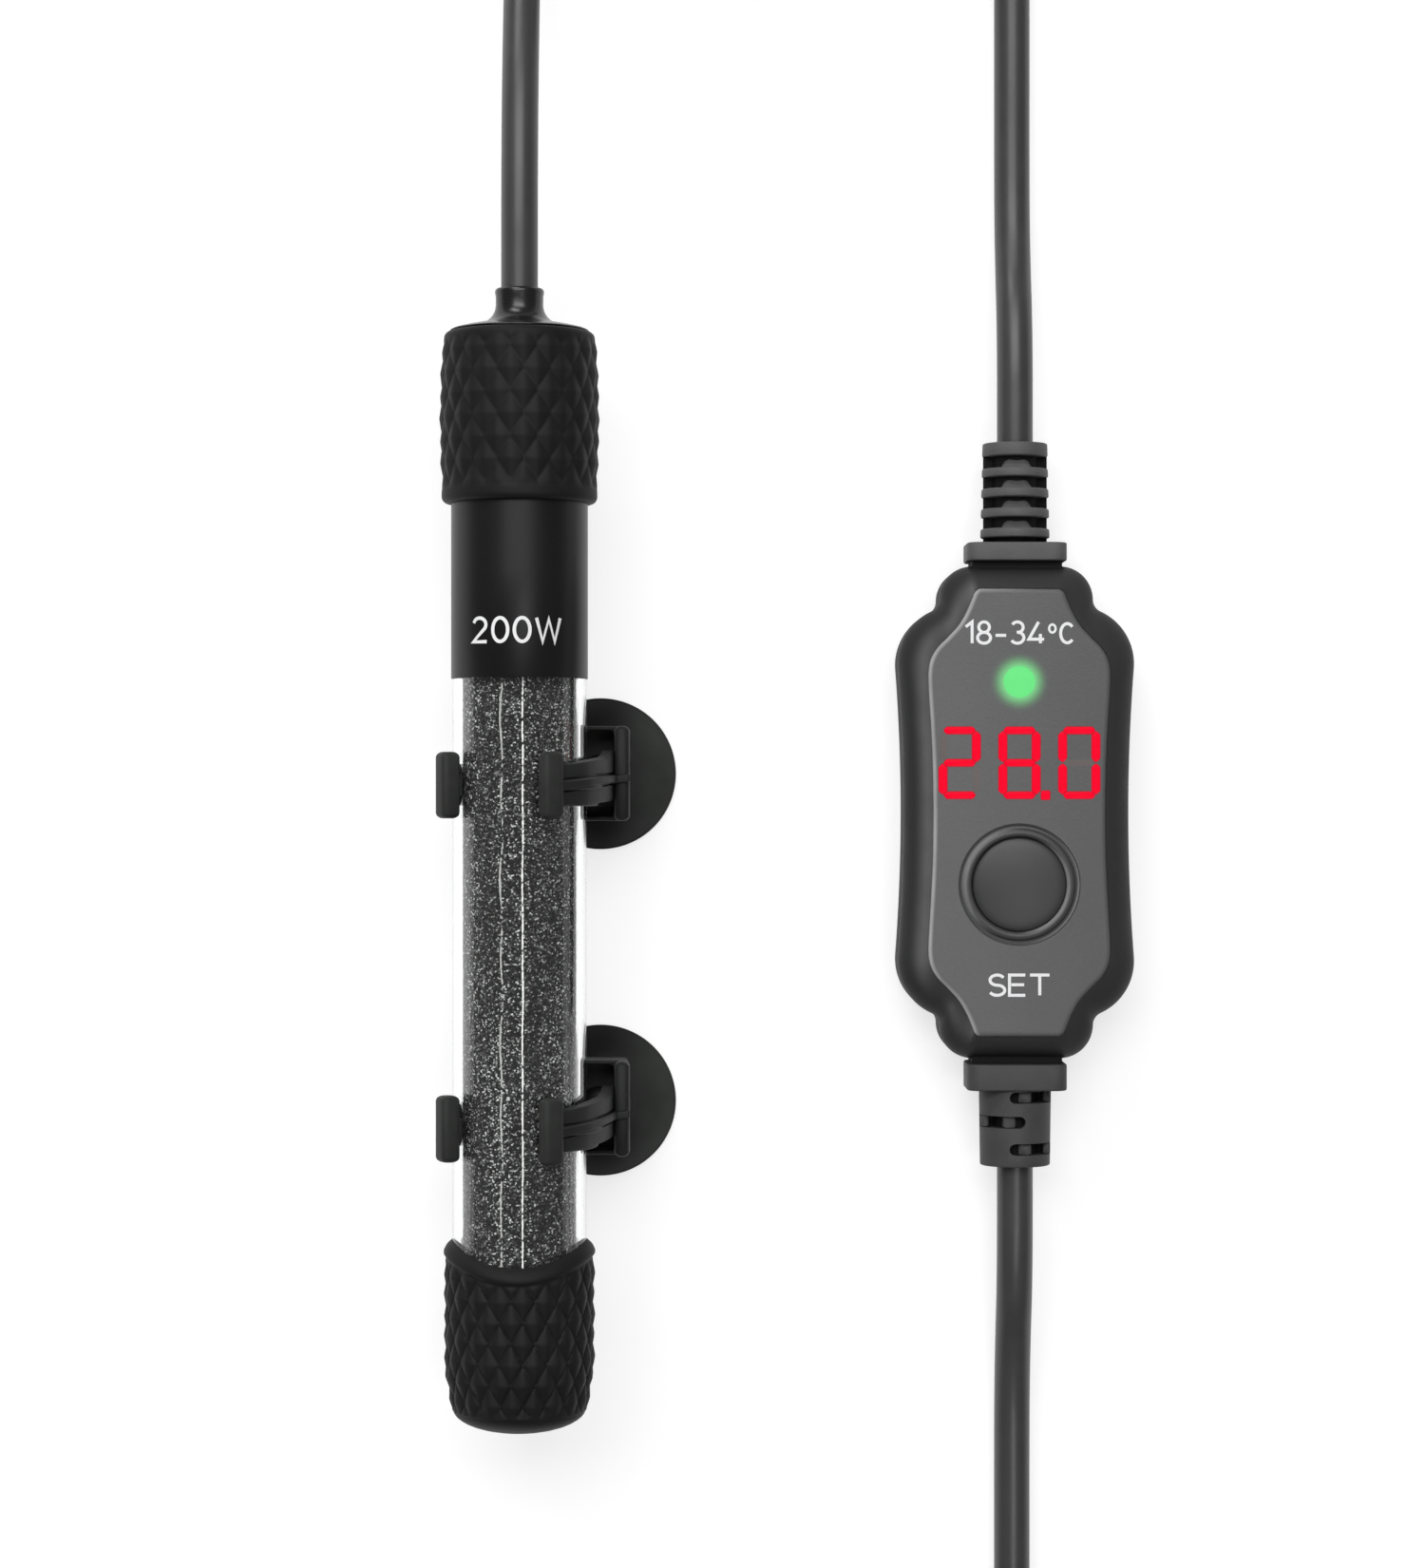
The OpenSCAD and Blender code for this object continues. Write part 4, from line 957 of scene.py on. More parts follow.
# Width of each sign and the middle lines of its strokes, in heights of a capital
SIGNS: dict[str, tuple[float, list[list[Point2]]]] = {
    "0": (0.56, [bow(0.28, 0.5, 0.28, 0.5)]),
    "1": (0.3, [[(0.0, 0.77), (0.28, 1.0), (0.28, 0.0)]]),
    "2": (0.58, [bow(0.28, 0.72, 0.27, 0.28, 165, -38) + [(0.0, 0.0), (0.58, 0.0)]]),
    "3": (0.55, [bow(0.27, 0.75, 0.25, 0.25, 150, -90), bow(0.27, 0.26, 0.28, 0.26, 95, -152)]),
    "4": (0.66, [[(0.42, 1.0), (0.0, 0.19), (0.66, 0.19)], [(0.5, 0.44), (0.5, 0.0)]]),
    "8": (0.56, [bow(0.28, 0.755, 0.23, 0.245), bow(0.28, 0.255, 0.28, 0.255)]),
    "-": (0.46, [[(0.0, 0.37), (0.46, 0.37)]]),
    "°": (0.28, [bow(0.14, 0.69, 0.14, 0.19)]),
    "C": (0.55, [bow(0.29, 0.47, 0.29, 0.45, 42, 318)]),
    "E": (0.6, [[(0.6, 1.0), (0.0, 1.0), (0.0, 0.0), (0.6, 0.0)], [(0.07, 0.52), (0.56, 0.52)]]),
    "S": (0.58, [bow(0.29, 0.75, 0.27, 0.25, 28, 270) + bow(0.29, 0.25, 0.29, 0.25, 90, -155)[1:]]),
    "T": (0.74, [[(0.0, 1.0), (0.74, 1.0)], [(0.37, 0.93), (0.37, 0.0)]]),
    "W": (0.94, [[(0.0, 1.0), (0.23, 0.0), (0.47, 0.95), (0.71, 0.0), (0.94, 1.0)]]),
}


def ribbon(path: Sequence[Point2], width: float, thick: float) -> tuple[list[list[Point3]], bool]:
    """Flat stroke along a path.

    Args:
        path: its middle line, in millimetres.
        width: its width.
        thick: its thickness, upwards from 0.

    Returns:
        Rings of four points along the stroke, and whether it closes on itself.
    """
    closed = dist(path[0], path[-1]) < TINY
    spots = [Vector(p) for p in (path[:-1] if closed else path)]
    rings = []
    for i, spot in enumerate(spots):
        before = spot - spots[i - 1] if closed or i > 0 else spots[1] - spot
        after = spots[(i + 1) % len(spots)] - spot if closed or i < len(spots) - 1 else before
        along = (before.normalized() + after.normalized()).normalized()
        mitre = width / 2 / max(0.45, along.dot(after.normalized()))
        side = Vector((-along.y, along.x)) * mitre
        left, right = spot + side, spot - side
        rings.append([(left.x, left.y, thick), (right.x, right.y, thick), (right.x, right.y, 0), (left.x, left.y, 0)])
    return rings, closed


def lettering(
    name: str, words: str, height: float, width: float, weight: float, gap: float = 0.24
) -> Piece:
    """Flat stroke lettering round the origin, facing +Z.

    Args:
        name: the piece's name.
        words: what it says.
        height: height of its capitals, in millimetres.
        width: width of the whole line, in millimetres.
        weight: width of its strokes, in millimetres.
        gap: space between signs, in widths of the sign's own scale.

    Returns:
        The new mesh object.
    """
    total = sum(SIGNS[sign][0] for sign in words) + gap * (len(words) - 1)
    across, up = (width - weight) / total, height - weight
    cursor, made = 0.0, []
    for sign in words:
        wide, strokes = SIGNS[sign]
        for layer, stroke in enumerate(strokes):
            path = [((cursor + x - total / 2) * across, (y - 0.5) * up) for x, y in stroke]
            rings, closed = ribbon(path, weight * (0.75 if sign == "°" else 1.0), 0.04 + 0.01 * layer)
            made.append(skin(name, rings, loop=closed))
        cursor += wide + gap
    return joined(made, LETTER_CREASE)


def settle(
    piece: Piece, finish: Finish, slot: Slot, *nodes: str, body: Body = Body.SET
) -> Piece:
    """Finishes a piece and seats it on its body.

    Args:
        piece: the piece, in place.
        finish: its finish.
        slot: the record's material slot; not used.
        nodes: CAD nodes that it stands for.
        body: the body that it rides on.

    Returns:
        The piece.
    """
    piece.data.materials.clear()
    piece.data.materials.append(finish.material())
    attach(piece, body.value)
    if nodes:
        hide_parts(*nodes)
    LOG.info("%s on %s", piece.name, body.value)
    return piece


# Heater


@dataclass(frozen=True)
class Knurl:
    """Staggered four-sided diamonds round a cap."""

    count: int
    row_height: float
    first_row: float
    depth: float
    phase: float
    groove: float = 0.0
    soft: float = 0.12
    ridge: float = 0.02
    reach: float = 0.42

    def height(self, turn: float, level: float) -> float:
        """Height of the knurl above its groove floor.

        Args:
            turn: angle from the front, in radians.
            level: height along the cap, in millimetres.

        Returns:
            Millimetres above the groove floor, below 0 in a cut groove.
        """
        across = turn * self.count / (2 * pi) + self.phase
        along = (level - self.first_row) / (2 * self.row_height)
        first = (across + along) % 1.0 - 0.5
        second = (across - along) % 1.0 - 0.5
        side, rise = (first + second) / 2, (first - second) / 2
        spread = hypot(side, self.soft) - self.soft + hypot(rise, self.ridge) - self.ridge
        edge = max(abs(first), abs(second))
        return self.depth * (1.0 - spread / self.reach) - self.groove * smooth_step(edge, self.reach, 0.5)


@dataclass
class Heater:
    """Glass heater: caps, boot, sleeve, tube and filling. Heights run up from its foot, in millimetres."""

    axis_x: float = -50.5
    axis_z: float = 31.0
    half_length: float = 106.5
    tube_r: float = 12.5
    tube_wall: float = 1.5
    tube_low: float = 13.0
    tube_top: float = 198.0
    tube_edge: float = 0.4
    sleeve_low: float = 140.2
    sleeve_r: float = 12.75
    sand_r: float = 10.6
    sand_bore: float = 4.9
    sand_span: Point2 = (17.5, 150.2)
    sand_grid: tuple[int, int] = (170, 330)
    sand_rough: float = 0.16
    coil_r: float = 4.15
    coil_turns: int = 36
    diamond_points: int = 16
    top_low: float = 172.8
    top_length: float = 32.0
    top_groove_r: float = 14.3
    top_knurled: float = 25.0
    top_edges: Point2 = (1.3, 1.1)
    top_bores: Point2 = (8.06, 12.8)
    top_knurl: Knurl = Knurl(18, 25 / 6, 3.3, 0.56, 0.2, 0.05)
    low_groove_r: float = 13.5
    low_foot_r: float = 12.4
    low_dome: float = 4.3
    low_start: float = 4.1
    low_rim: float = 29.8
    low_scoop: float = 4.0
    low_bevel: float = 2.0
    low_knurl: Knurl = Knurl(19, 3.86, 6.3, 0.62, 0.71, 0.2)
    wattage_place: float = 148.9

    def place(self, radius: float, turn: float, level: float) -> Point3:
        """Point at a radius, an angle from the front and a height along the heater."""
        return (self.axis_x + radius * sin(turn), level - self.half_length, self.axis_z + radius * cos(turn))

    def ring(self, count: int, shape: Callable[[float], Point2]) -> list[Point3]:
        """Ring of points whose radius and height depend on the angle."""
        spots = [(turn, *shape(turn)) for turn in turns(count)]
        return [self.place(radius, turn, level) for turn, radius, level in spots]

    def flat_ring(self, count: int, radius: float, level: float) -> list[Point3]:
        """Round ring of points at one height."""
        return [self.place(radius, turn, level) for turn in turns(count)]

    def top_wall(self, level: float, turn: float) -> Point2:
        """Radius and height on the upper cap's outside, at a height above its lower edge.

        Args:
            level: height above its lower edge.
            turn: angle from the front, in radians.

        Returns:
            Radius, and height along the heater.
        """
        share = (level - self.top_knurl.first_row) / self.top_knurled
        barrel = self.top_groove_r + 0.1 - 0.4 * (2 * share - 1) ** 2
        plain = self.top_groove_r + 0.22 - 0.5 * smooth_step(level, 26.0, self.top_length)
        cut = smooth_step(level, 2.1, 4.2) * (1 - smooth_step(level, 29.2, 31.0))
        radius = plain + cut * (barrel + self.top_knurl.height(turn, level) - plain)
        low, high = self.top_edges
        radius -= edge_round(low, low - level) + edge_round(high, level - self.top_length + high)
        return radius, self.top_low + level

    def build_top_cap(self) -> None:
        """Knurled grip cap with a bore for the tube and a hole for the boot."""
        count = self.top_knurl.count * self.diamond_points
        levels = [0.0, 0.05, 0.15, 0.3, 0.5, 0.75, 1.0, 1.3, 1.6]
        start, span = levels[-1], self.top_length - self.top_edges[1] - levels[-1]
        steps = int(span / (self.top_knurl.row_height / self.diamond_points))
        levels += [start + span * (i + 1) / steps for i in range(steps)]
        levels += [31.15, 31.4, 31.6, 31.8, 31.93, self.top_length]
        rings = [self.ring(count, partial(self.top_wall, level)) for level in levels]
        hole, bore = self.top_bores
        for radius, level in ((hole, self.top_length), (hole, 27.0), (bore, 27.0), (bore, 0.0)):
            rings.append(self.flat_ring(count, radius, self.top_low + level))
        settle(skin("grip_cap", rings, loop=True, crease=50), GRIP, Slot.GRIP, "top_cap")

    def build_boot(self) -> None:
        """Flared boot round the lead, plugged into the upper cap."""
        base = self.top_low + self.top_length
        bore = 3.5
        disc = [(8.0, 0.05), (12.75, 0.05), (12.95, 0.18), (12.9, 0.36), (12.3, 0.62), (10.8, 0.98), (9.4, 1.28)]
        disc += [(8.4, 1.48)]
        flare = arc((8.05, 5.15), 3.6, 262, 180, 14)
        neck = [(4.45, 6.6), (4.6, 7.4), (4.55, 7.8), (4.3, 8.1), (3.95, 8.2), (bore, 8.2)]
        inside = self.tube_top + 0.05 - base
        profile = [(bore, inside), (11.0, inside), (11.0, -5.05), (8.0, -5.05), *disc, *flare, *neck]
        boot = lathe("cord_boot_flare", [(radius, base + up) for radius, up in profile], self.place)
        settle(boot, BOOT, Slot.BOOT, "cord_boot")

    def build_sleeve(self) -> None:
        """Satin film round the upper part of the tube, with its plain power rating."""
        inner, outer = self.tube_r + 0.05, self.sleeve_r
        profile = [(inner, self.sleeve_low), (outer - 0.06, self.sleeve_low), (outer, self.sleeve_low + 0.08)]
        profile += [(outer, self.sleeve_low + 20), (outer, self.tube_top), (inner, self.tube_top)]
        settle(lathe("sleeve_tube", profile, self.place, 160), SLEEVE, Slot.SLEEVE, "tube_sleeve")
        words = lettering("rating_print", "200W", 5.0, 17.8, 0.64)
        with reworked(words) as work:
            bmesh.ops.subdivide_edges(work, edges=[e for e in work.edges if e.calc_length() > 0.9 * MM], cuts=5)
            for vertex in work.verts:
                spot = vertex.co / MM
                radius = outer + 0.01 + spot.z
                vertex.co = Vector(self.place(radius, spot.x / outer, self.wattage_place + spot.y)) * MM
        settle(words, INK, Slot.SLEEVE)

    def build_tube(self) -> None:
        """Clear tube, closed and rounded at its lower end."""
        inner, outer, edge = self.tube_r - self.tube_wall, self.tube_r, self.tube_edge
        low, floor, top = self.tube_low, self.tube_low + self.tube_wall, self.tube_top
        profile = [(0.0, low)] + arc((outer - 3, low + 3), 3.0, -90, 0, 10)
        profile += [(outer, top - edge), (outer - edge, top), (inner + edge, top), (inner, top - edge)]
        profile += arc((inner - 1.5, floor + 1.5), 1.5, 0, -90, 8) + [(0.0, floor)]
        settle(lathe("clear_tube", profile, self.place, 192), GLASS, Slot.GLASS, "glass_tube")

    def sand_ring(self, row: int, count: int, level: float) -> list[Point3]:
        """Ring of the filling's outside, uneven by a hash of each grain's row and place."""
        rough = [sin(12.9898 * k + 78.233 * row) * 43758.5453 % 1.0 for k in range(count)]
        return [self.place(self.sand_r - self.sand_rough * r, turn, level) for r, turn in zip(rough, turns(count))]

    def build_sand(self) -> None:
        """Packed filling whose outside is rough with grains."""
        (low, high), (count, rows) = self.sand_span, self.sand_grid
        shoulder, first = self.sand_r - 0.3, low + 0.15
        rings = [self.flat_ring(count, radius, low) for radius in (self.sand_bore, shoulder)]
        rings += [self.sand_ring(i, count, first + (high - low - 0.3) * i / rows) for i in range(rows + 1)]
        rings += [self.flat_ring(count, radius, high) for radius in (shoulder, self.sand_bore)]
        settle(skin("packed_filling", rings, loop=True, crease=80), SAND, Slot.SAND, "quartz_sand")

    def build_wires(self) -> None:
        """Two thin wires in front of the filling, and the heating wire wound round its former."""
        steps = 110
        for node, finish, sway in (("return_wire", DIM_WIRE, 0.2), ("sensor_wire", BRIGHT_WIRE, 0.05)):
            low, high = (Vector(corner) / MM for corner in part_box(node))
            middle = (low + high) / 2
            route = []
            for share in (i / steps for i in range(steps + 1)):
                aside = sway * (sin(71 * share) + 0.6 * sin(33 * share + 1.0)) * sin(pi * share)
                route.append((middle.x + aside, low.y + (high.y - low.y) * share, middle.z))
            settle(strand(f"{node}_strand", route, 0.45 * (high.x - low.x)), finish, Slot.WIRE, node)
        steps = 20
        low, high = self.sand_span[0] + 0.7, self.sand_span[1] - 0.7
        count = self.coil_turns * steps
        helix = [
            self.place(self.coil_r, 2 * pi * i / steps, low + (high - low) * i / count) for i in range(count + 1)
        ]
        settle(strand("heating_helix", helix, 0.38), HEATING_WIRE, Slot.ELEMENT, "heating_coil")

    def rim_level(self, turn: float) -> float:
        """Height of the lower cap's lip, highest at its two sides."""
        return self.low_rim + self.low_scoop * sin(turn) ** 2

    def low_radius(self, turn: float, level: float) -> float:
        """Radius of the lower cap's outside at a height above its foot.

        Args:
            turn: angle from the front, in radians.
            level: height above the foot.

        Returns:
            The radius.
        """
        lip, proud = self.rim_level(turn), 0.12
        taper = self.low_foot_r + (self.low_groove_r - self.low_foot_r) * smooth_step(level, self.low_dome, 13.0)
        cut = smooth_step(level, 3.6, 5.6) * (1 - smooth_step(level, lip - 2.2, lip - 1.0))
        plain = taper + proud + (self.low_knurl.depth - proud) * smooth_step(level, lip - 1.3, lip - 0.5)
        return plain + cut * (taper + self.low_knurl.height(turn, level) - plain)

    def build_low_cap(self) -> None:
        """Knurled guard cap with a domed foot and a scooped, bevelled rim."""
        count, steps = self.low_knurl.count * self.diamond_points, 108
        rings: list[list[Point3]] = [[self.place(0.0, 0.0, 0.0)]]
        flat = cos(radians(16))
        for a in map(radians, (6, 16, 26, 36, 46, 55, 63, 70, 76, 81, 86)):
            level = max(0.0, self.low_dome * (1 - cos(a) / flat))
            rings.append(self.flat_ring(count, self.low_foot_r * sin(a), level))
        rings += [self.ring(count, partial(self.low_wall, i / steps)) for i in range(steps + 1)]
        inner = self.tube_r + 0.06
        for share in (0.12, 0.3, 0.5, 0.7, 0.88, 0.97, 1.0):
            rings.append(self.ring(count, partial(self.low_lip, share, inner)))
        pad_r, pad_top = 9.56, 8.0
        for radius, level in ((inner, self.tube_low), (pad_r, self.tube_low), (pad_r, pad_top)):
            rings.append(self.flat_ring(count, radius, level))
        rings.append([self.place(0.0, 0.0, pad_top)])
        settle(skin("guard_cap", rings, crease=50), GRIP, Slot.GRIP, "bottom_cap")

    def low_wall(self, share: float, turn: float) -> Point2:
        """Radius and height on the lower cap's wall, from its dome (0) to its lip (1)."""
        level = self.low_start + share * (self.rim_level(turn) - self.low_start)
        return self.low_radius(turn, level), level

    def low_lip(self, share: float, inner: float, turn: float) -> Point2:
        """Radius and height on the bevel of the lower cap's rim."""
        outer, swell = self.low_groove_r + self.low_knurl.depth, 0.16 * sin(pi * share)
        return outer + (inner - outer) * share + swell, self.rim_level(turn) + self.low_bevel * share + swell

    def build(self) -> None:
        """Builds the heater's pieces in order."""
        self.build_top_cap()
        self.build_boot()
        self.build_sleeve()
        self.build_tube()
        self.build_sand()
        self.build_wires()
        self.build_low_cap()


@dataclass
class Holder:
    """Clip on the tube and the suction cup in its hub. Millimetres from the tube's axis and the clip's middle."""

    end: End
    level: float
    centre: Point2
    axis: Point2 = (-50.5, 31.0)
    jaw_r: float = 14.8
    band_t: float = 2.2
    band_half: float = 3.9
    neck_half: float = 2.0
    front_jaw: float = 65.0
    side_jaw: float = -216.0
    finger_r: float = 12.8
    finger_half: float = 6.15
    hub_x: Point2 = (8.1, 20.3)
    hub_y: Point2 = (-6.8, 11.2)
    hub_z: Point2 = (-23.0, -13.5)
    hub_corner: float = 1.3
    hub_floor: float = 2.5
    bar_half: Point2 = (1.45, 3.1)
    rim_r: float = 14.7
    hub_r: float = 6.2
    top: float = 7.9
    hollow: float = 3.4
    stem_r: float = 2.5
    head_low: float = 10.6

    def named(self, part: str) -> str:
        """Name of a part at this end of the heater."""
        return f"{self.end.value}_{part}"

    def seat(self, piece: Piece, finish: Finish, *nodes: str) -> None:
        """Finishes a piece of the clip and seats it."""
        settle(piece, finish, Slot.CLIP, *nodes, body=Body(self.named("clip")))

    def place(self, radius: float, turn: float, level: float) -> Point3:
        """Point at a radius, an angle and a height on the cup's axis."""
        return (*polar(self.centre, radius, turn), level)

    def spot(self, x: float, y: float, z: float) -> Point3:
        """Point from the tube's axis and the clip's middle."""
        return (self.axis[0] + x, self.level + y, self.axis[1] + z)

    def band(self, high: float, low: float, rib: float, rib_half: float = 1.0) -> list[Point2]:
        """Section of a ribbed band.

        Args:
            high: its upper edge, along the tube.
            low: its lower edge.
            rib: the middle of its rib.
            rib_half: half of the rib's width.

        Returns:
            Pairs of a place along the tube and a height over the band's outside.
        """
        sides = []
        for way, edge in ((1, low), (-1, high)):
            root = rib - way * rib_half
            side = [(edge, -self.band_t), (edge, -0.55), (edge + way * 0.16, -0.16), (edge + way * 0.55, 0.0)]
            side += [(root - way * 0.45, 0.0), (root - way * 0.27, -0.4), (root - way * 0.05, -0.4), (root, 0.4)]
            sides.append(side + [(root + way * 0.3, 0.72)])
        return sides[0] + sides[1][::-1]

    def sweep(self, name: str, stations: Sequence[tuple[float, float, float, list[Point2]]]) -> Piece:
        """Sweeps band sections along a line round the tube.

        Args:
            name: the piece's name.
            stations: x, z and outward angle in radians of each station, and its section.

        Returns:
            The new mesh object.
        """
        rings = []
        for x, z, a, section in stations:
            rings.append([self.spot(x + n * cos(a), y, z + n * sin(a)) for y, n in section])
        return skin(name, rings, crease=34)

    def build_jaw(self) -> None:
        """Sprung jaw round the back of the tube, necked at its side finger."""
        stations = []
        count, widening = 90, (self.side_jaw + 22, self.side_jaw + 27)
        for i in range(count + 1):
            turn = self.front_jaw + (self.side_jaw - self.front_jaw) * i / count
            half = self.band_half - (self.band_half - self.neck_half) * (1 - smooth_step(turn, *widening))
            a = radians(turn)
            section = self.band(half, -half, 0.0, 0.9)
            stations.append((self.jaw_r * cos(a), self.jaw_r * sin(a), a, section))
        self.seat(self.sweep(self.named("jaw"), stations), CLIP, self.named("clip"))

    def build_arm(self) -> None:
        """Ribbed arm from the front finger down to the hub, a little askew."""
        path = [(self.jaw_r * cos(a), self.jaw_r * sin(a)) for a in map(radians, range(63, 23, -4))]
        path += [(14.6, 3.2), (15.6, 0.2), (16.35, -3.0), (16.9, -6.2), (17.2, -9.4), (17.3, -12.6)]
        reach, proud = path[-1][0] - path[0][0], 0.15
        stations = []
        for i, (x, z) in enumerate(path):
            before, after = path[max(0, i - 1)], path[min(len(path) - 1, i + 1)]
            a = atan2(after[0] - before[0], -(after[1] - before[1]))
            share = (x - path[0][0]) / reach
            high = 3.75 + 1.7 * share**1.6 + 1.2 * smooth_step(share, 0.94, 1.0)
            section = self.band(high, -4.0 + 1.0 * share**1.5, -0.35 + 1.55 * share, 0.95 - 0.2 * share)
            stations.append((x + proud * cos(a), z + proud * sin(a), a, section))
        self.seat(self.sweep(self.named("arm"), stations), CLIP)

    def build_finger(self, part: str, turn: float, wide: float, deep: float) -> None:
        """Rounded finger bar across the end of a jaw, clear of the tube's sleeve.

        Args:
            part: which finger it is.
            turn: its angle round the tube, in degrees.
            wide: its width.
            deep: its depth, out from the tube.
        """
        a, corner = radians(turn), 1.3
        rounding = ((0.0, 1.0), (0.12, 0.55), (0.45, 0.16), (0.95, 0.0))
        ends = [(into - self.finger_half, inset) for into, inset in rounding]
        ends += [(-y, inset) for y, inset in reversed(ends)]
        rings = []
        for y, inset in ends:
            w, d = wide / 2 - inset, deep / 2 - inset
            ring = []
            for out, side in filleted([(-d, -w, corner), (d, -w, corner), (d, w, corner), (-d, w, corner)]):
                r = self.finger_r + deep / 2 + out
                ring.append(self.spot(r * cos(a) - side * sin(a), y, r * sin(a) + side * cos(a)))
            rings.append(ring)
        self.seat(skin(self.named(part), rings, crease=50), FINGER_LIT_COPY)

    def hub_ring(self, inset: float, wall: float, z: float) -> list[Point3]:
        """Rounded oblong inside the hub's outline, with a thicker wall on its outer side.

        Args:
            inset: distance inside the hub.
            wall: its outer wall.
            z: height from the axis.

        Returns:
            The points.
        """
        (x0, x1), (y0, y1), r = self.hub_x, self.hub_y, self.hub_corner
        left, right, low, high = x0 + inset, x1 - max(inset + 0.35, wall), y0 + inset, y1 - inset
        corners = [(left, low, r), (right, low, r), (right, high, r), (left, high, r)]
        return [self.spot(x, y, z) for x, y in filleted(corners)]

    def rib_spot(self, across: float, along: float, up: float) -> Point3:
        """Point on the end of the arm's rib, which crosses the hub's bar a little askew."""
        edge = self.hub_x[1]
        return self.spot(along, across + 0.95 + 0.15 * (along - edge + 2.9), self.hub_z[1] + 4.5 + up)

    def build_hub(self) -> None:
        """Open socket for the cup's head, with a rounded bar along its outer side."""
        (_, x1), (y0, y1), (z0, z1) = self.hub_x, self.hub_y, self.hub_z
        pocket = self.hub_ring(0.9, 3.0, z0 + self.hub_floor)
        hole = []
        for x, y, _ in pocket:
            way = Vector((x, y)) - Vector(self.centre)
            hole.append(Vector(self.centre) + way.normalized() * (self.stem_r + 0.06))
        low_hole, high_hole = ([(p.x, p.y, self.axis[1] + z) for p in hole] for z in (z0, z0 + self.hub_floor))
        steps = ((0.5, 0.5, z0), (0.1, 0.1, z0 + 0.4), (0.0, 0.0, z0 + 1.0), (0.0, 0.0, z1 - 0.6))
        steps += ((0.08, 0.15, z1 - 0.22), (0.28, 0.5, z1), (0.55, 2.5, z1), (0.78, 2.85, z1 - 0.2))
        steps += ((0.9, 3.0, z1 - 0.6),)
        rings = [low_hole, *(self.hub_ring(*step) for step in steps), pocket, high_hole]
        hub = skin(self.named("hub"), rings, loop=True, crease=BLOCK_CREASE)
        bar = []
        half_w, half_d = self.bar_half
        for y, inset in ((y0, 0.95), (y0 + 0.2, 0.45), (y0 + 0.8, 0.0), (y1 - 0.8, 0.0), (y1 - 0.2, 0.45), (y1, 0.95)):
            w, d = half_w - inset, half_d - inset
            shape = filleted([(-w, -d, 0.5), (w, -d, 0.5), (w, d, 1.3), (-w, d, 1.3)])
            bar.append([self.spot(x1 - half_w + px, y, z1 + 1.7 + pz) for px, pz in shape])
        absorb(hub, skin("hub_bar", bar, crease=BLOCK_CREASE))
        absorb(hub, rounded_block("rib_end", (0.75, 0.9), 0.35, (x1 - 3.6, x1 + 0.1), 0.4, self.rib_spot))
        self.seat(hub, CLIP)

    def build_cup(self) -> None:
        """Smooth suction cup with a rim, a shallow hollow and a stem with a snap head."""
        rim, hub, stem, head, steps = self.rim_r, self.hub_r, self.stem_r, self.head_low, 22
        profile: list[Point2] = [(0.0, self.hollow)]
        profile += [((rim - 1.8) * i / 12, self.hollow * (1 - (i / 12) ** 2)) for i in range(1, 13)]
        profile += [(rim - 0.35, 0.0), (rim - 0.08, 0.12), (rim, 0.42), (rim - 0.1, 0.78), (rim - 0.4, 0.98)]
        for out in (i / steps for i in reversed(range(steps))):
            profile.append((hub + (rim - hub) * out, 0.9 + (self.top - 2.4) * (1 - out**1.6)))
        profile += [(hub - 0.1, 7.1), (hub - 0.3, 7.6), (hub - 0.8, self.top), (stem, self.top), (stem, head)]
        profile += [(stem + 1.0, head), (stem + 1.1, head + 0.2), (stem + 1.1, head + 0.9)]
        profile += [(stem + 0.4, head + 1.7), (stem - 0.6, head + 2.0), (0.0, head + 2.0)]
        cup = lathe(self.named("sucker"), profile, self.place, 112)
        settle(cup, CUP, Slot.CUP, self.named("suction_cup"), body=Body(self.named("cup")))

    def build(self) -> None:
        """Builds the clip's jaw, fingers, arm and hub, and its cup."""
        self.build_jaw()
        self.build_finger("front_finger", 63.5, 4.3, 3.3)
        self.build_finger("side_finger", 152.0, 4.4, 3.7)
        self.build_arm()
        self.build_hub()
        self.build_cup()


# Controller


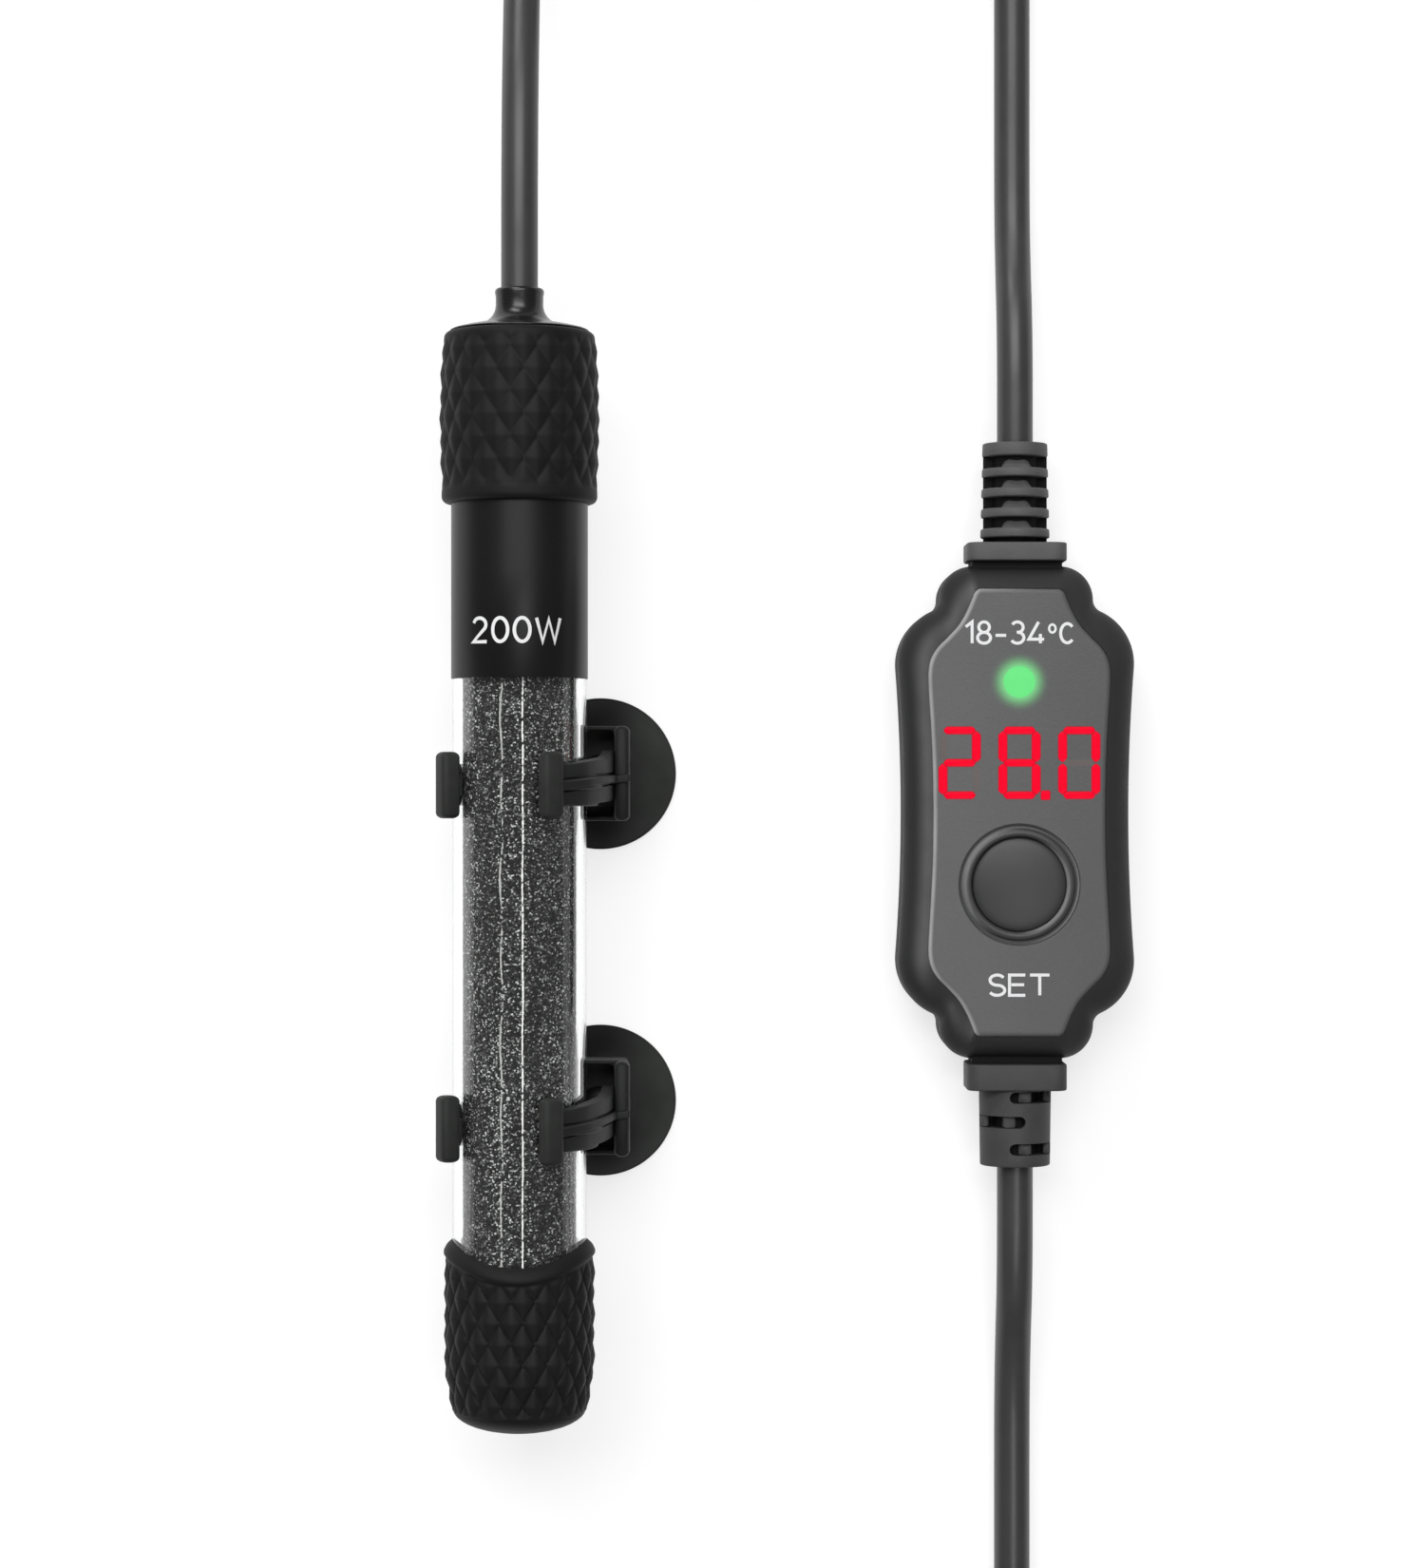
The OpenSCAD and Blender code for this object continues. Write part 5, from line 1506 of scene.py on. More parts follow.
@dataclass
class Relief:
    """Strain relief on an end of the controller: collar, sleeve and a core darkened as painted shade. Lengths run out
    from the collar.
    """

    node: str
    way: int
    collar_t: float
    radii: Point2
    length: float
    finish: Finish
    middle: Point3
    cuts: tuple[tuple[float, ...], ...]
    gap_end: float = 47.9
    wall_end: float = 44.7
    core_r: float = 4.3

    def spot(self, x: float, out: float, z: float) -> Point3:
        """Point across the sleeve, out from the collar's far side and above the cord's axis."""
        y = self.gap_end + self.collar_t + out
        return (self.middle[0] + self.way * x, self.middle[1] + self.way * y, self.middle[2] + z)

    def place(self, radius: float, turn: float, out: float) -> Point3:
        """Lathe place round the cord's axis."""
        return self.spot(radius * sin(turn), out, radius * cos(turn))

    def radius(self, out: float) -> float:
        """Radius of the sleeve's outside."""
        return self.radii[0] + (self.radii[1] - self.radii[0]) * out / self.length

    def block(self, part: str, half: Point2, corner: float, ends: Point2, edge: float) -> Piece:
        """Rounded block along the cord."""
        return rounded_block(f"{self.node}_{part}", half, corner, ends, edge, self.spot)

    def build_core(self) -> None:
        """Core round the cord, near-black as painted shade in the gaps, with thin webs at both sides, and the neck and
        flange that hold it in the case.
        """
        r, out, wall = self.core_r, self.length - 0.5, self.wall_end - self.gap_end - self.collar_t
        core = lathe(f"{self.node}_core", [(0.0, -1.0), (r, -1.0), (r, out), (0.0, out)], self.place, 64)
        for part, half, corner, ends in (
            ("webs", (self.radii[1] - 0.12, 0.8), 0.3, (-1.0, out)),
            ("neck", (8.6, 5.6), 0.4, (wall - 0.1, 1.0 - self.collar_t)),
            ("flange", (10.0, 6.6), 0.5, (wall - 2.25, wall - 0.05)),
        ):
            absorb(core, self.block(part, half, corner, ends, 0.1))
        settle(core, RELIEF_SHADE_CORE, Slot.RELIEF)

    def build_sleeve(self) -> Piece:
        """The sleeve on its own."""
        raise NotImplementedError

    def build(self) -> None:
        """Builds the sleeve with its collar, and the core."""
        sleeve = self.build_sleeve()
        absorb(sleeve, self.block("collar", (9.55, 7.5), 3.0, (-self.collar_t, 0.0), 0.35))
        settle(sleeve, self.finish, Slot.RELIEF, self.node)
        self.build_core()


@dataclass
class UpperRelief(Relief):
    """Relief with rings joined by narrow webs; its cuts are the rings, from the collar out."""

    web_wide: Point2 = (3.0, 1.7)
    web_tall: Point2 = (5.7, 3.3)

    def build_webs(self, piece: Piece) -> None:
        """Adds the webs in front and behind, each sloping down from its ring to the next.

        Args:
            piece: the sleeve that they join.
        """
        for (_, start), (end, _) in zip(self.cuts, self.cuts[1:]):
            sections = []
            for share in (i / 6 for i in range(7)):
                wide, tall = (a + (b - a) * share for a, b in (self.web_wide, self.web_tall))
                out = start - 0.2 + (end - start + 0.4) * share
                corners = [(x * wide, z * tall, 1.4) for x, z in ((1, -1), (1, 1), (-1, 1), (-1, -1))]
                sections.append([self.spot(x, out, z) for x, z in filleted(corners, 6)])
            absorb(piece, skin(f"{self.node}_web", sections))

    def build_sleeve(self) -> Piece:
        """Rings and webs round a plain spine.

        Returns:
            The sleeve.
        """
        spine = self.block("sleeve", (1.2, 3.6), 0.8, (-0.5, self.length - 0.4), 0.2)
        self.build_webs(spine)
        bore, e = 3.5, 0.28
        for low, high in self.cuts:
            a, b = self.radius(low), self.radius(high)
            profile = [(bore, low), (a - e, low), (a - 0.3 * e, low + 0.3 * e), (a, low + e), (b, high - e)]
            profile += [(b - 0.3 * e, high - 0.3 * e), (b - e, high), (bore, high)]
            absorb(spine, lathe(f"{self.node}_ring", profile, self.place, 72))
        return spine


@dataclass
class LowerRelief(Relief):
    """Relief with slots that open in turn at either side; its cuts are start, end and side of each slot."""

    def build_sleeve(self) -> Piece:
        """Tapered sleeve cut by round-ended slots, each with a bump and a web in it.

        Returns:
            The sleeve.
        """
        low, high = self.radii
        end, e = self.length, 0.3
        profile = [(0.0, -0.5), (low, -0.5), (low, 0.2), (high, end - e), (high - 0.3 * e, end - 0.3 * e)]
        profile += [(high - e, end), (0.0, end)]
        sleeve = lathe(f"{self.node}_sleeve", profile, self.place)
        slots = [(*cut, face) for cut, face in product(self.cuts, (1, -1))]
        cutters = [self.slot(*slot) for slot in slots]
        for cutter in cutters:
            cut = sleeve.modifiers.new("slot", "BOOLEAN")
            cut.object, cut.operation, cut.solver = cutter, "DIFFERENCE", "EXACT"
        made = frozen(sleeve)
        for cutter in cutters:
            bpy.data.objects.remove(cutter)
        for slot in slots:
            absorb(made, self.bump(*slot, (0.2, 2.7), 5.6))
            absorb(made, self.bump(*slot, (5.1, 6.6), 2.6))
        return made

    def slot(self, start: float, end: float, side: int, face: int) -> Piece:
        """Cutter of one slot, from the middle plane out through the front or the back.

        Args:
            start: its inner end.
            end: its outer end.
            side: its blind side, 1 or -1.
            face: 1 in front, -1 behind.

        Returns:
            The cutter.
        """
        half, mid, far = (end - start) / 2, (start + end) / 2, 9.0
        outline = [(-side * far, -half), (-side * far, half)]
        for a in (pi * i / 10 for i in range(11)):
            outline.append((side * (0.4 + half * sin(a)), half * cos(a)))
        return skin("slot_cutter", [[self.spot(x, mid + y, face * z) for x, y in outline] for z in (0.7, far)])

    def bump(self, start: float, end: float, side: int, face: int, span: Point2, high: float) -> Piece:
        """Rounded rubber bump in a slot, over that span from the middle line to the slot's side.

        Args:
            start: inner end of the slot.
            end: its outer end.
            side: its blind side.
            face: 1 in front, -1 behind.
            span: from and to, off the middle line.
            high: its height.

        Returns:
            The new mesh object.
        """
        mid, half, e, r = (span[0] + span[1]) / 2, (span[1] - span[0]) / 2, 0.5, 0.25
        low, top = start + 0.1, end - 0.1
        rings = []
        for z, inset in ((0.4, 0.0), (high - e, 0.0), (high - 0.25 * e, 0.28 * e), (high, 0.8 * e)):
            w = half - inset
            shape = filleted([(w, low, r), (w, top, r), (-w, top, r), (-w, low, r)], 3)
            rings.append([self.spot(-side * (mid + x), y, face * z) for x, y in shape])
        return skin("slot_bump", rings, crease=BLOCK_CREASE)


@dataclass
class Controller:
    """In-line controller: shells, face, display, button and strain reliefs. Millimetres from its middle."""

    middle: Point2 = (43.5, 8.7)
    length: float = 94.0
    width: float = 45.2
    height: float = 22.0
    end_half: float = 14.7
    waist_dip: float = 1.1
    corner_r: float = 11.0
    end_corner_r: float = 6.3
    shoulder_in: float = 18.6
    fineness: int = 4
    part_z: float = 11.0
    panel_z: float = 20.0
    wall: float = 2.2
    bevel_turn: float = 66.0
    back_edge: float = 2.5
    screw: Point2 = (16.4, 27.0)
    screw_r: float = 2.55
    face_edge: tuple[Point2, ...] = (
        (16.35, 0.0), (16.45, 8.0), (16.8, 16.0), (17.2, 22.6), (17.3, 26.4), (16.85, 29.0), (15.6, 31.2),
        (13.5, 33.35), (11.5, 35.6), (10.1, 38.0), (9.0, 40.6), (8.5, 41.75), (7.6, 42.4),
    )
    button_y: float = -13.6
    button_r: float = 8.86
    ring_r: float = 11.5
    light_y: float = 24.7
    light_r: float = 2.9
    digits_y: float = 9.4
    digit_pitch: float = 11.3
    digit_size: Point2 = (7.8, 13.5)
    digits: tuple[str, ...] = ("1101101", "1111111", "1111110")
    strokes: Point2 = (1.5, 1.26)
    module_top: float = 17.4

    def tangent_radius(self, across: float, along: float) -> float:
        """Radius of a hollow arc that touches the shoulder's arc and an upright line that far from its centre."""
        return (across**2 + along**2 - self.corner_r**2) / (2 * (self.corner_r - across))

    def outline(self, inset: float) -> list[Point2]:
        """Outline of the case.

        Args:
            inset: distance inside the case's side.

        Returns:
            Points of the closed outline, anticlockwise from the right flank's middle.
        """
        shoulder = (self.width / 2 - self.corner_r, self.length / 2 - self.shoulder_in)
        end = (self.end_half - self.end_corner_r, self.length / 2 - self.end_corner_r)
        fillet_r = self.tangent_radius(self.end_half - shoulder[0], end[1] - shoulder[1])
        fillet = (self.end_half + fillet_r, end[1])
        fillet_turn = degrees(atan2(fillet[1] - shoulder[1], fillet[0] - shoulder[0]))
        waist_r = self.tangent_radius(self.width / 2 - self.waist_dip - shoulder[0], shoulder[1])
        waist = (self.width / 2 - self.waist_dip + waist_r, 0.0)
        waist_turn = degrees(atan2(shoulder[1], waist[0] - shoulder[0]))
        fine = self.fineness
        quarter = [(waist[0] - waist_r - inset, 0.0)]
        quarter += arc(waist, waist_r + inset, 180, 180 - waist_turn, 3 * fine)[1:]
        quarter += arc(shoulder, self.corner_r - inset, -waist_turn, fillet_turn, 7 * fine)[1:]
        quarter += arc(fillet, fillet_r + inset, 180 + fillet_turn, 180, 4 * fine)[1:]
        quarter += arc(end, self.end_corner_r - inset, 0, 90, 5 * fine)[1:]
        return self.mirrored(quarter)

    def mirrored(self, quarter: Sequence[Point2]) -> list[Point2]:
        """Closed outline round the controller's middle from its first quarter, which starts on the flank.

        Args:
            quarter: points of that quarter.

        Returns:
            Points of the outline.
        """
        half = list(quarter) + [(-x, y) for x, y in reversed(quarter[1:])]
        whole = half + [(-x, -y) for x, y in quarter] + [(x, -y) for x, y in reversed(quarter[1:])]
        return [(x + self.middle[0], y + self.middle[1]) for x, y in whole]

    def face_outline(self, inset: float) -> list[Point2]:
        """Outline of the flat face, point for point beside the case's outline.

        Args:
            inset: distance inside the face's edge.

        Returns:
            Points of the closed outline.
        """
        case = [(x - self.middle[0], y - self.middle[1]) for x, y in self.outline(0.0)]
        case = case[: (len(case) - 2) // 4 + 1]
        dense = self.rounded(self.face_edge)
        steps, lengths = running_lengths(dense), running_lengths(case)
        quarter, k = [], 0
        for length in lengths:
            want = length / lengths[-1] * steps[-1]
            while k < len(dense) - 2 and steps[k + 1] < want:
                k += 1
            share = (want - steps[k]) / (steps[k + 1] - steps[k])
            quarter.append(tuple(dense[k][i] + (dense[k + 1][i] - dense[k][i]) * share for i in (0, 1)))
        reach = 4
        before = [(x, -y) for x, y in reversed(quarter[1 : reach + 1])]
        after = [(quarter[-1][0] - 0.35 * (k + 1), quarter[-1][1]) for k in range(reach)]
        longer = [Vector(p) for p in before + quarter + after]
        moved = []
        for i, (x, y) in enumerate(quarter):
            along = (longer[i + 2 * reach] - longer[i]).normalized()
            moved.append((x - along.y * inset, y + along.x * inset))
        return self.mirrored(moved)

    @staticmethod
    def rounded(points: Sequence[Point2]) -> list[Point2]:
        """Smooth line through points, eight steps from each to the next.

        Args:
            points: points that the line meets.

        Returns:
            Points of the line.
        """
        result = []
        for i in range(len(points) - 1):
            p0, p1, p2, p3 = (Vector(points[min(max(0, i + k), len(points) - 1)]) for k in (-1, 0, 1, 2))
            square, cube = 2 * p0 - 5 * p1 + 4 * p2 - p3, 3 * p1 - p0 - 3 * p2 + p3
            for t in (k / 8 for k in range(8)):
                spot = 0.5 * (2 * p1 + (p2 - p0) * t + square * t**2 + cube * t**3)
                result.append((spot.x, spot.y))
        return result + [tuple(points[-1])]

    @staticmethod
    def rings(outline: Callable[[float], list[Point2]], sections: Sequence[Point2]) -> list[list[Point3]]:
        """Rings of an outline at pairs of height and inset."""
        return [[(x, y, z) for x, y in outline(inset)] for z, inset in sections]

    def place(self, y: float, radius: float, turn: float, level: float) -> Point3:
        """Lathe place round an upright axis on the controller's middle line."""
        return (*polar((self.middle[0], self.middle[1] + y), radius, turn), level)

    def build_front(self) -> None:
        """Front shell with a broad rounded bevel."""
        part, bevel_z, top, ledge, lip = self.part_z, self.part_z + 2, self.height - 0.12, 17.5, 14.0
        sections = [(part + 0.05, self.wall), (part + 0.05, 0.25), (part + 0.12, 0.08), (part + 0.3, 0.0)]
        rings = self.rings(self.outline, sections + [(bevel_z, 0.0)])
        turn, steps = radians(self.bevel_turn), 14
        sides = list(zip(self.outline(0.0), self.face_outline(0.0)))
        for a in (turn * (i + 1) / steps for i in range(steps)):
            share = (1 - cos(a)) / (1 - cos(turn))
            z = bevel_z + (top - bevel_z) * sin(a) / sin(turn)
            rings.append([(o[0] + (f[0] - o[0]) * share, o[1] + (f[1] - o[1]) * share, z) for o, f in sides])
        rings += self.rings(self.face_outline, [(self.panel_z, 0.0), (self.panel_z, 1.0), (ledge, 1.0)])
        rings += self.rings(self.outline, [(ledge, 4.2), (lip, 4.2), (lip, self.wall)])
        settle(skin("front_shell", rings, loop=True, crease=42), CASE, Slot.CASE, "case_front")

    def build_back(self) -> None:
        """Back shell: walls with a rounded edge, and a floor with countersunk holes for the screws."""
        part, edge, floor_top = self.part_z, self.back_edge, 2.0
        sections = [(floor_top, self.wall), (part, self.wall), (part, 0.25), (part - 0.08, 0.08), (part - 0.3, 0.0)]
        sections += [(edge, 0.0)]
        sections += [(edge * (1 - sin(a)), edge * (1 - cos(a))) for a in map(radians, range(9, 82, 9))]
        walls = skin("back_shell", self.rings(self.outline, sections + [(0.0, edge)]), loop=True, crease=42)
        settle(walls, CASE, Slot.CASE, "case_back")
        holes = []
        for sx, sy in product((-1, 1), repeat=2):
            spot = (self.middle[0] + sx * self.screw[0], self.middle[1] + sy * self.screw[1])
            holes.append(arc(spot, self.screw_r, 0, 348.75, 31))
        floor = plate("back_floor", [self.outline(self.wall + 0.1)] + holes, 0.02, floor_top, 0.12)
        settle(floor, CASE, Slot.CASE)

    def build_face(self) -> None:
        """Grained face plate with openings for the ring, the indicator and the display segments."""
        x, y = self.middle
        holes = [arc((x, y + self.button_y), self.ring_r + 0.05, 0, 356.25, 95)]
        holes.append(arc((x, y + self.light_y), self.light_r + 0.05, 0, 352.5, 47))
        holes += self.segments(True, 0.0) + self.segments(False, 0.0)
        low, top, gap, wide = self.panel_z + 0.05, self.height, 0.03, 1.15
        face = plate("face_plate", [self.face_outline(wide)] + holes, low, top)
        settle(face, FACE, Slot.PANEL, "front_panel")
        border = [(low, wide), (low, gap), (top - 0.5, gap)]
        for a in map(radians, range(10, 91, 10)):
            border.append((top - 0.5 * (1 - sin(a)), gap + 1.1 * (1 - cos(a))))
        rim = skin("face_rim", self.rings(self.face_outline, border + [(top, wide)]), loop=True, crease=35)
        settle(rim, FACE_RIM, Slot.PANEL)

    def segments(self, lit: bool, grow: float) -> list[list[Point2]]:
        """Outlines of the display's segments.

        Args:
            lit: whether the lit or the dark ones are wanted.
            grow: how much wider than the segment the outline is.

        Returns:
            One outline for each segment.
        """
        upright, level = self.strokes
        half_x, half_y = (self.digit_size[0] - upright) / 2, (self.digit_size[1] - level) / 2
        spots = ((0, 2), (1, 1), (1, -1), (0, -2), (-1, -1), (-1, 1), (0, 0))
        result = []
        for place, digit in enumerate(self.digits):
            for (sx, sy), on in zip(spots, digit):
                if (on == "1") != lit:
                    continue
                flat = sx == 0
                half_l = (half_x if flat else half_y / 2) - 0.07 + grow
                half_w = (level if flat else upright) / 2 + grow
                side = half_l - half_w
                shape = ((-half_l, 0), (-side, half_w), (side, half_w), (half_l, 0), (side, -half_w), (-side, -half_w))
                round_shape = filleted([(px, py, 0.5) for px, py in shape], 4)
                turned = round_shape if flat else [(-py, px) for px, py in round_shape]
                cx = self.middle[0] + (place - 1) * self.digit_pitch + sx * half_x
                cy = self.middle[1] + self.digits_y + sy * half_y / 2
                result.append([(cx + px, cy + py) for px, py in turned])
        if lit:
            dot_x = self.middle[0] + self.digit_pitch / 2 - 0.72
            dot_y = self.middle[1] + self.digits_y - half_y
            side = 0.8 + grow
            ways = ((-1, -1), (1, -1), (1, 1), (-1, 1))
            result.append(filleted([(dot_x + sx * side, dot_y + sy * side, 0.35) for sx, sy in ways], 3))
        return result

    def build_display(self) -> None:
        """Light guides of the lit and the dark segments, a painted glow round the lit ones, and the indicator."""
        top, r = self.height, self.light_r
        lit = plate("lit_segments", self.segments(True, 0.0), self.module_top, top + 0.04, 0.04)
        settle(lit, LIT, Slot.LIT, "display_lit")
        halos = [plate("lit_halo", [outline], top - 0.2, top + 0.012) for outline in self.segments(True, 0.15)]
        settle(joined(halos, PLATE_CREASE), HALO, Slot.LIT)
        dark = plate("dark_segments", self.segments(False, 0.0), self.module_top, top + 0.008)
        settle(dark, UNLIT, Slot.UNLIT, "display_unlit")
        profile = [(0.0, 12.2), (r - 0.6, 12.2), (r - 0.6, 18.4), (r + 0.8, 18.4), (r + 0.8, 20.0), (r, 20.0)]
        profile += [(r, 21.9)] + [(r * cos(a), 21.95 + 0.5 * sin(a)) for a in (0.2, 0.5, 0.8, 1.1, 1.35)]
        lamp = lathe("indicator_light", profile + [(0.0, 22.46)], partial(self.place, self.light_y), 64)
        settle(lamp, LAMP, Slot.LENS, "indicator_lens")

    def build_button(self) -> None:
        """Raised ring and the crowned button in it."""
        b, r, top, place = self.button_r, self.ring_r, self.height, partial(self.place, self.button_y)
        ring = [(b + 0.1, 19.4, 0), (r, 19.4, 0), (r, top - 0.05, 0.15), (r - 0.45, top - 0.42, 0.3)]
        ring += [(b + 1.75, top - 0.3, 0.25), (b + 1.5, top + 0.35, 0.4), (b + 0.9, top + 0.62, 0.5)]
        ring += [(b + 0.4, top + 0.4, 0.4), (b + 0.1, top - 0.2, 0.2)]
        settle(lathe("button_bezel", filleted(ring, 4), place, 128), RING, Slot.CASE, "button_ring")
        profile = [(b * i / 14, top + 0.95 - 0.6 * (i / 12) ** 2) for i in range(13)]
        profile += [(b - 0.8, top + 0.24), (b - 0.4, top + 0.12), (b - 0.15, top - 0.02), (b - 0.03, top - 0.2)]
        profile += [(b, top - 0.4), (b, 19.0), (b + 0.8, 19.0), (b + 0.8, 17.8)]
        profile += [(2.0, 17.8), (2.0, 15.25), (0.0, 15.25)]
        button = lathe("press_button", profile, place, 128)
        settle(button, BUTTON, Slot.BUTTON, "set_button", body=Body.BUTTON)

    def build_words(self) -> None:
        """Printed range above the indicator and the word below the button."""
        for name, words, height, width, gap, y in (
            ("range_print", "18-34°C", 4.6, 20.9, 0.22, 34.0),
            ("button_print", "SET", 4.4, 11.9, 0.18, -32.6),
        ):
            made = lettering(name, words, height, width, 0.57, gap)
            spot = Vector((self.middle[0], self.middle[1] + y, self.height + 0.01)) * MM
            made.data.transform(Matrix.Translation(spot))
            settle(made, INK, Slot.PANEL)

    def build_reliefs(self) -> None:
        """Strain reliefs at both ends."""
        middle = (*self.middle, self.part_z)
        rings = ((1.09, 2.82), (4.95, 6.65), (8.8, 10.5), (12.7, 14.35), (16.65, 19.2))
        UpperRelief("upper_relief", 1, 3.5, (6.66, 6.2), 19.2, RELIEF, middle, rings).build()
        slots = ((0.25, 2.45, 1), (4.9, 7.2, -1), (10.1, 12.35, 1))
        LowerRelief("lower_relief", -1, 5.05, (6.9, 6.7), 14.6, RELIEF_LOW, middle, slots).build()

    def build(self) -> None:
        """Builds the controller's pieces in order."""
        self.build_front()
        self.build_back()
        self.build_face()
        self.build_display()
        self.build_button()
        self.build_words()
        self.build_reliefs()


# Leads


@dataclass
class Winding:
    """Lead wound in two layers, in along one and out along the other."""

    centre: Point2
    radius: float
    start: float
    turns: float
    levels: Point2
    pitch: float = 7.4
    per_turn: int = 24

    def points(self) -> list[Point3]:
        """Points along the winding.

        Returns:
            The points.
        """
        result = []
        for u in (i / self.per_turn for i in range(int(self.turns * self.per_turn) + 1)):
            r = self.radius - self.pitch * min(u, self.turns - u)
            a = radians(self.start - 360 * u)
            climb = smooth_step(u, self.turns / 2 - 0.25, self.turns / 2 + 0.25)
            z = self.levels[0] + (self.levels[1] - self.levels[0]) * climb
            result.append((*polar(self.centre, r, a), z))
        return result


@dataclass
class Lead:
    """Free lead along one smooth curve."""

    name: str
    route: list[Point3]
    far_end: FarEnd
    nodes: tuple[str, ...]
    diameter: float = 6.9

    def build(self, *pieces: Piece) -> None:
        """Args:
            pieces: separate pieces on the lead; not used.
        """
        curve = bpy.data.curves.new(self.name, "CURVE")
        curve.dimensions = "3D"
        curve.bevel_depth = self.diameter / 2 * MM
        curve.bevel_resolution = 7
        curve.resolution_u = 5
        curve.use_fill_caps = True
        spline = curve.splines.new("BEZIER")
        spline.bezier_points.add(len(self.route) - 1)
        for point, spot in zip(spline.bezier_points, self.route):
            point.co = Vector(spot) * MM
            point.handle_left_type = point.handle_right_type = "AUTO"
        spline.use_smooth = True
        piece = settle(link(curve, self.name), CORD, Slot.CORD, *self.nodes)
        tuple(c * MM for c in self.route[0])
        self.length(piece)
        self.diameter * MM

    @staticmethod
    def length(piece: Piece) -> float:
        """Length of the curve along its line, to a millimetre."""
        return round(sum(s.calc_length() for s in piece.data.splines), 3)


@dataclass
class Tie:
    """Toothed strap round both layers of a winding, with its lock head and tail on top."""

    node: str
    centre: Point2
    radius: float
    angle: float
    level: float = 8.45
    inner_half: Point2 = (3.7, 7.4)
    inner_r: float = 1.6
    thick: float = 0.9
    width: float = 6.0
    tooth: float = 0.16

    def spot(self, out: float, along: float, up: float) -> Point3:
        """Point out from the winding's middle line, along its turn and up."""
        a = radians(self.angle)
        return (*polar(polar(self.centre, self.radius + out, a), along, a + pi / 2), self.level + up)

    def loop(self, out: float) -> list[Point2]:
        """Rounded oblong round the winding, that far outside the strap's inner side.

        Args:
            out: that distance.

        Returns:
            Points of the loop.
        """
        w, h, r = self.inner_half[0] + out, self.inner_half[1] + out, self.inner_r + out
        result = []
        for quarter, (sx, sy) in enumerate(((1, -1), (1, 1), (-1, 1), (-1, -1))):
            corner = arc((sx * (w - r), sy * (h - r)), r, 90 * quarter - 90, 90 * quarter, 8)
            result += corner
            span = 2 * (h - r if quarter % 2 == 0 else w - r)
            way = ((0, 1), (-1, 0), (0, -1), (1, 0))[quarter]
            teeth = 24 if quarter % 2 == 0 else 12
            x, y = corner[-1]
            result += [(x + way[0] * span * i / teeth, y + way[1] * span * i / teeth) for i in range(1, teeth)]
        return result

    def head_spot(self, across: float, along: float, up: float) -> Point3:
        """Point of the lock head on top of the strap."""
        return self.spot(across, along, self.inner_half[1] + self.thick + 1.2 + up)

    def tail_spot(self, along: float, back: float, up: float) -> Point3:
        """Point of the tail that lies back from the lock head."""
        return self.spot(-back, along, self.inner_half[1] + self.thick + 1.3 + up)

    def build(self) -> Piece:
        """Builds the strap and seats it.

        Returns:
            The strap.
        """
        inner, outer, ridge = self.loop(0.0), self.loop(self.thick), self.loop(self.thick + self.tooth)
        w, crease = self.width / 2, 40.0
        section = ((0.0, 0.25 - w), (0.0, w - 0.25), (0.3, w), (0.7, w))
        section += ((1.0, w - 0.3), (1.0, 0.3 - w), (0.7, -w), (0.3, -w))
        rings = []
        for k, ((x, y), plain, high) in enumerate(zip(inner, outer, ridge)):
            ring = []
            for share, along in section:
                edge = high if k % 2 and share in (0.0, 1.0) else plain
                ring.append(self.spot(x + (edge[0] - x) * share, along, y + (edge[1] - y) * share))
            rings.append(ring)
        strap = skin(f"{self.node}_strap", rings, loop=True, crease=30)
        absorb(strap, rounded_block("head", (2.4, 1.6), 0.6, (-w - 0.8, w + 0.8), 0.5, self.head_spot), crease)
        absorb(strap, rounded_block("tail", (2.3, 0.5), 0.3, (1.5, 8.2), 0.3, self.tail_spot), crease)
        return settle(strap, TIE, Slot.TIE, self.node)


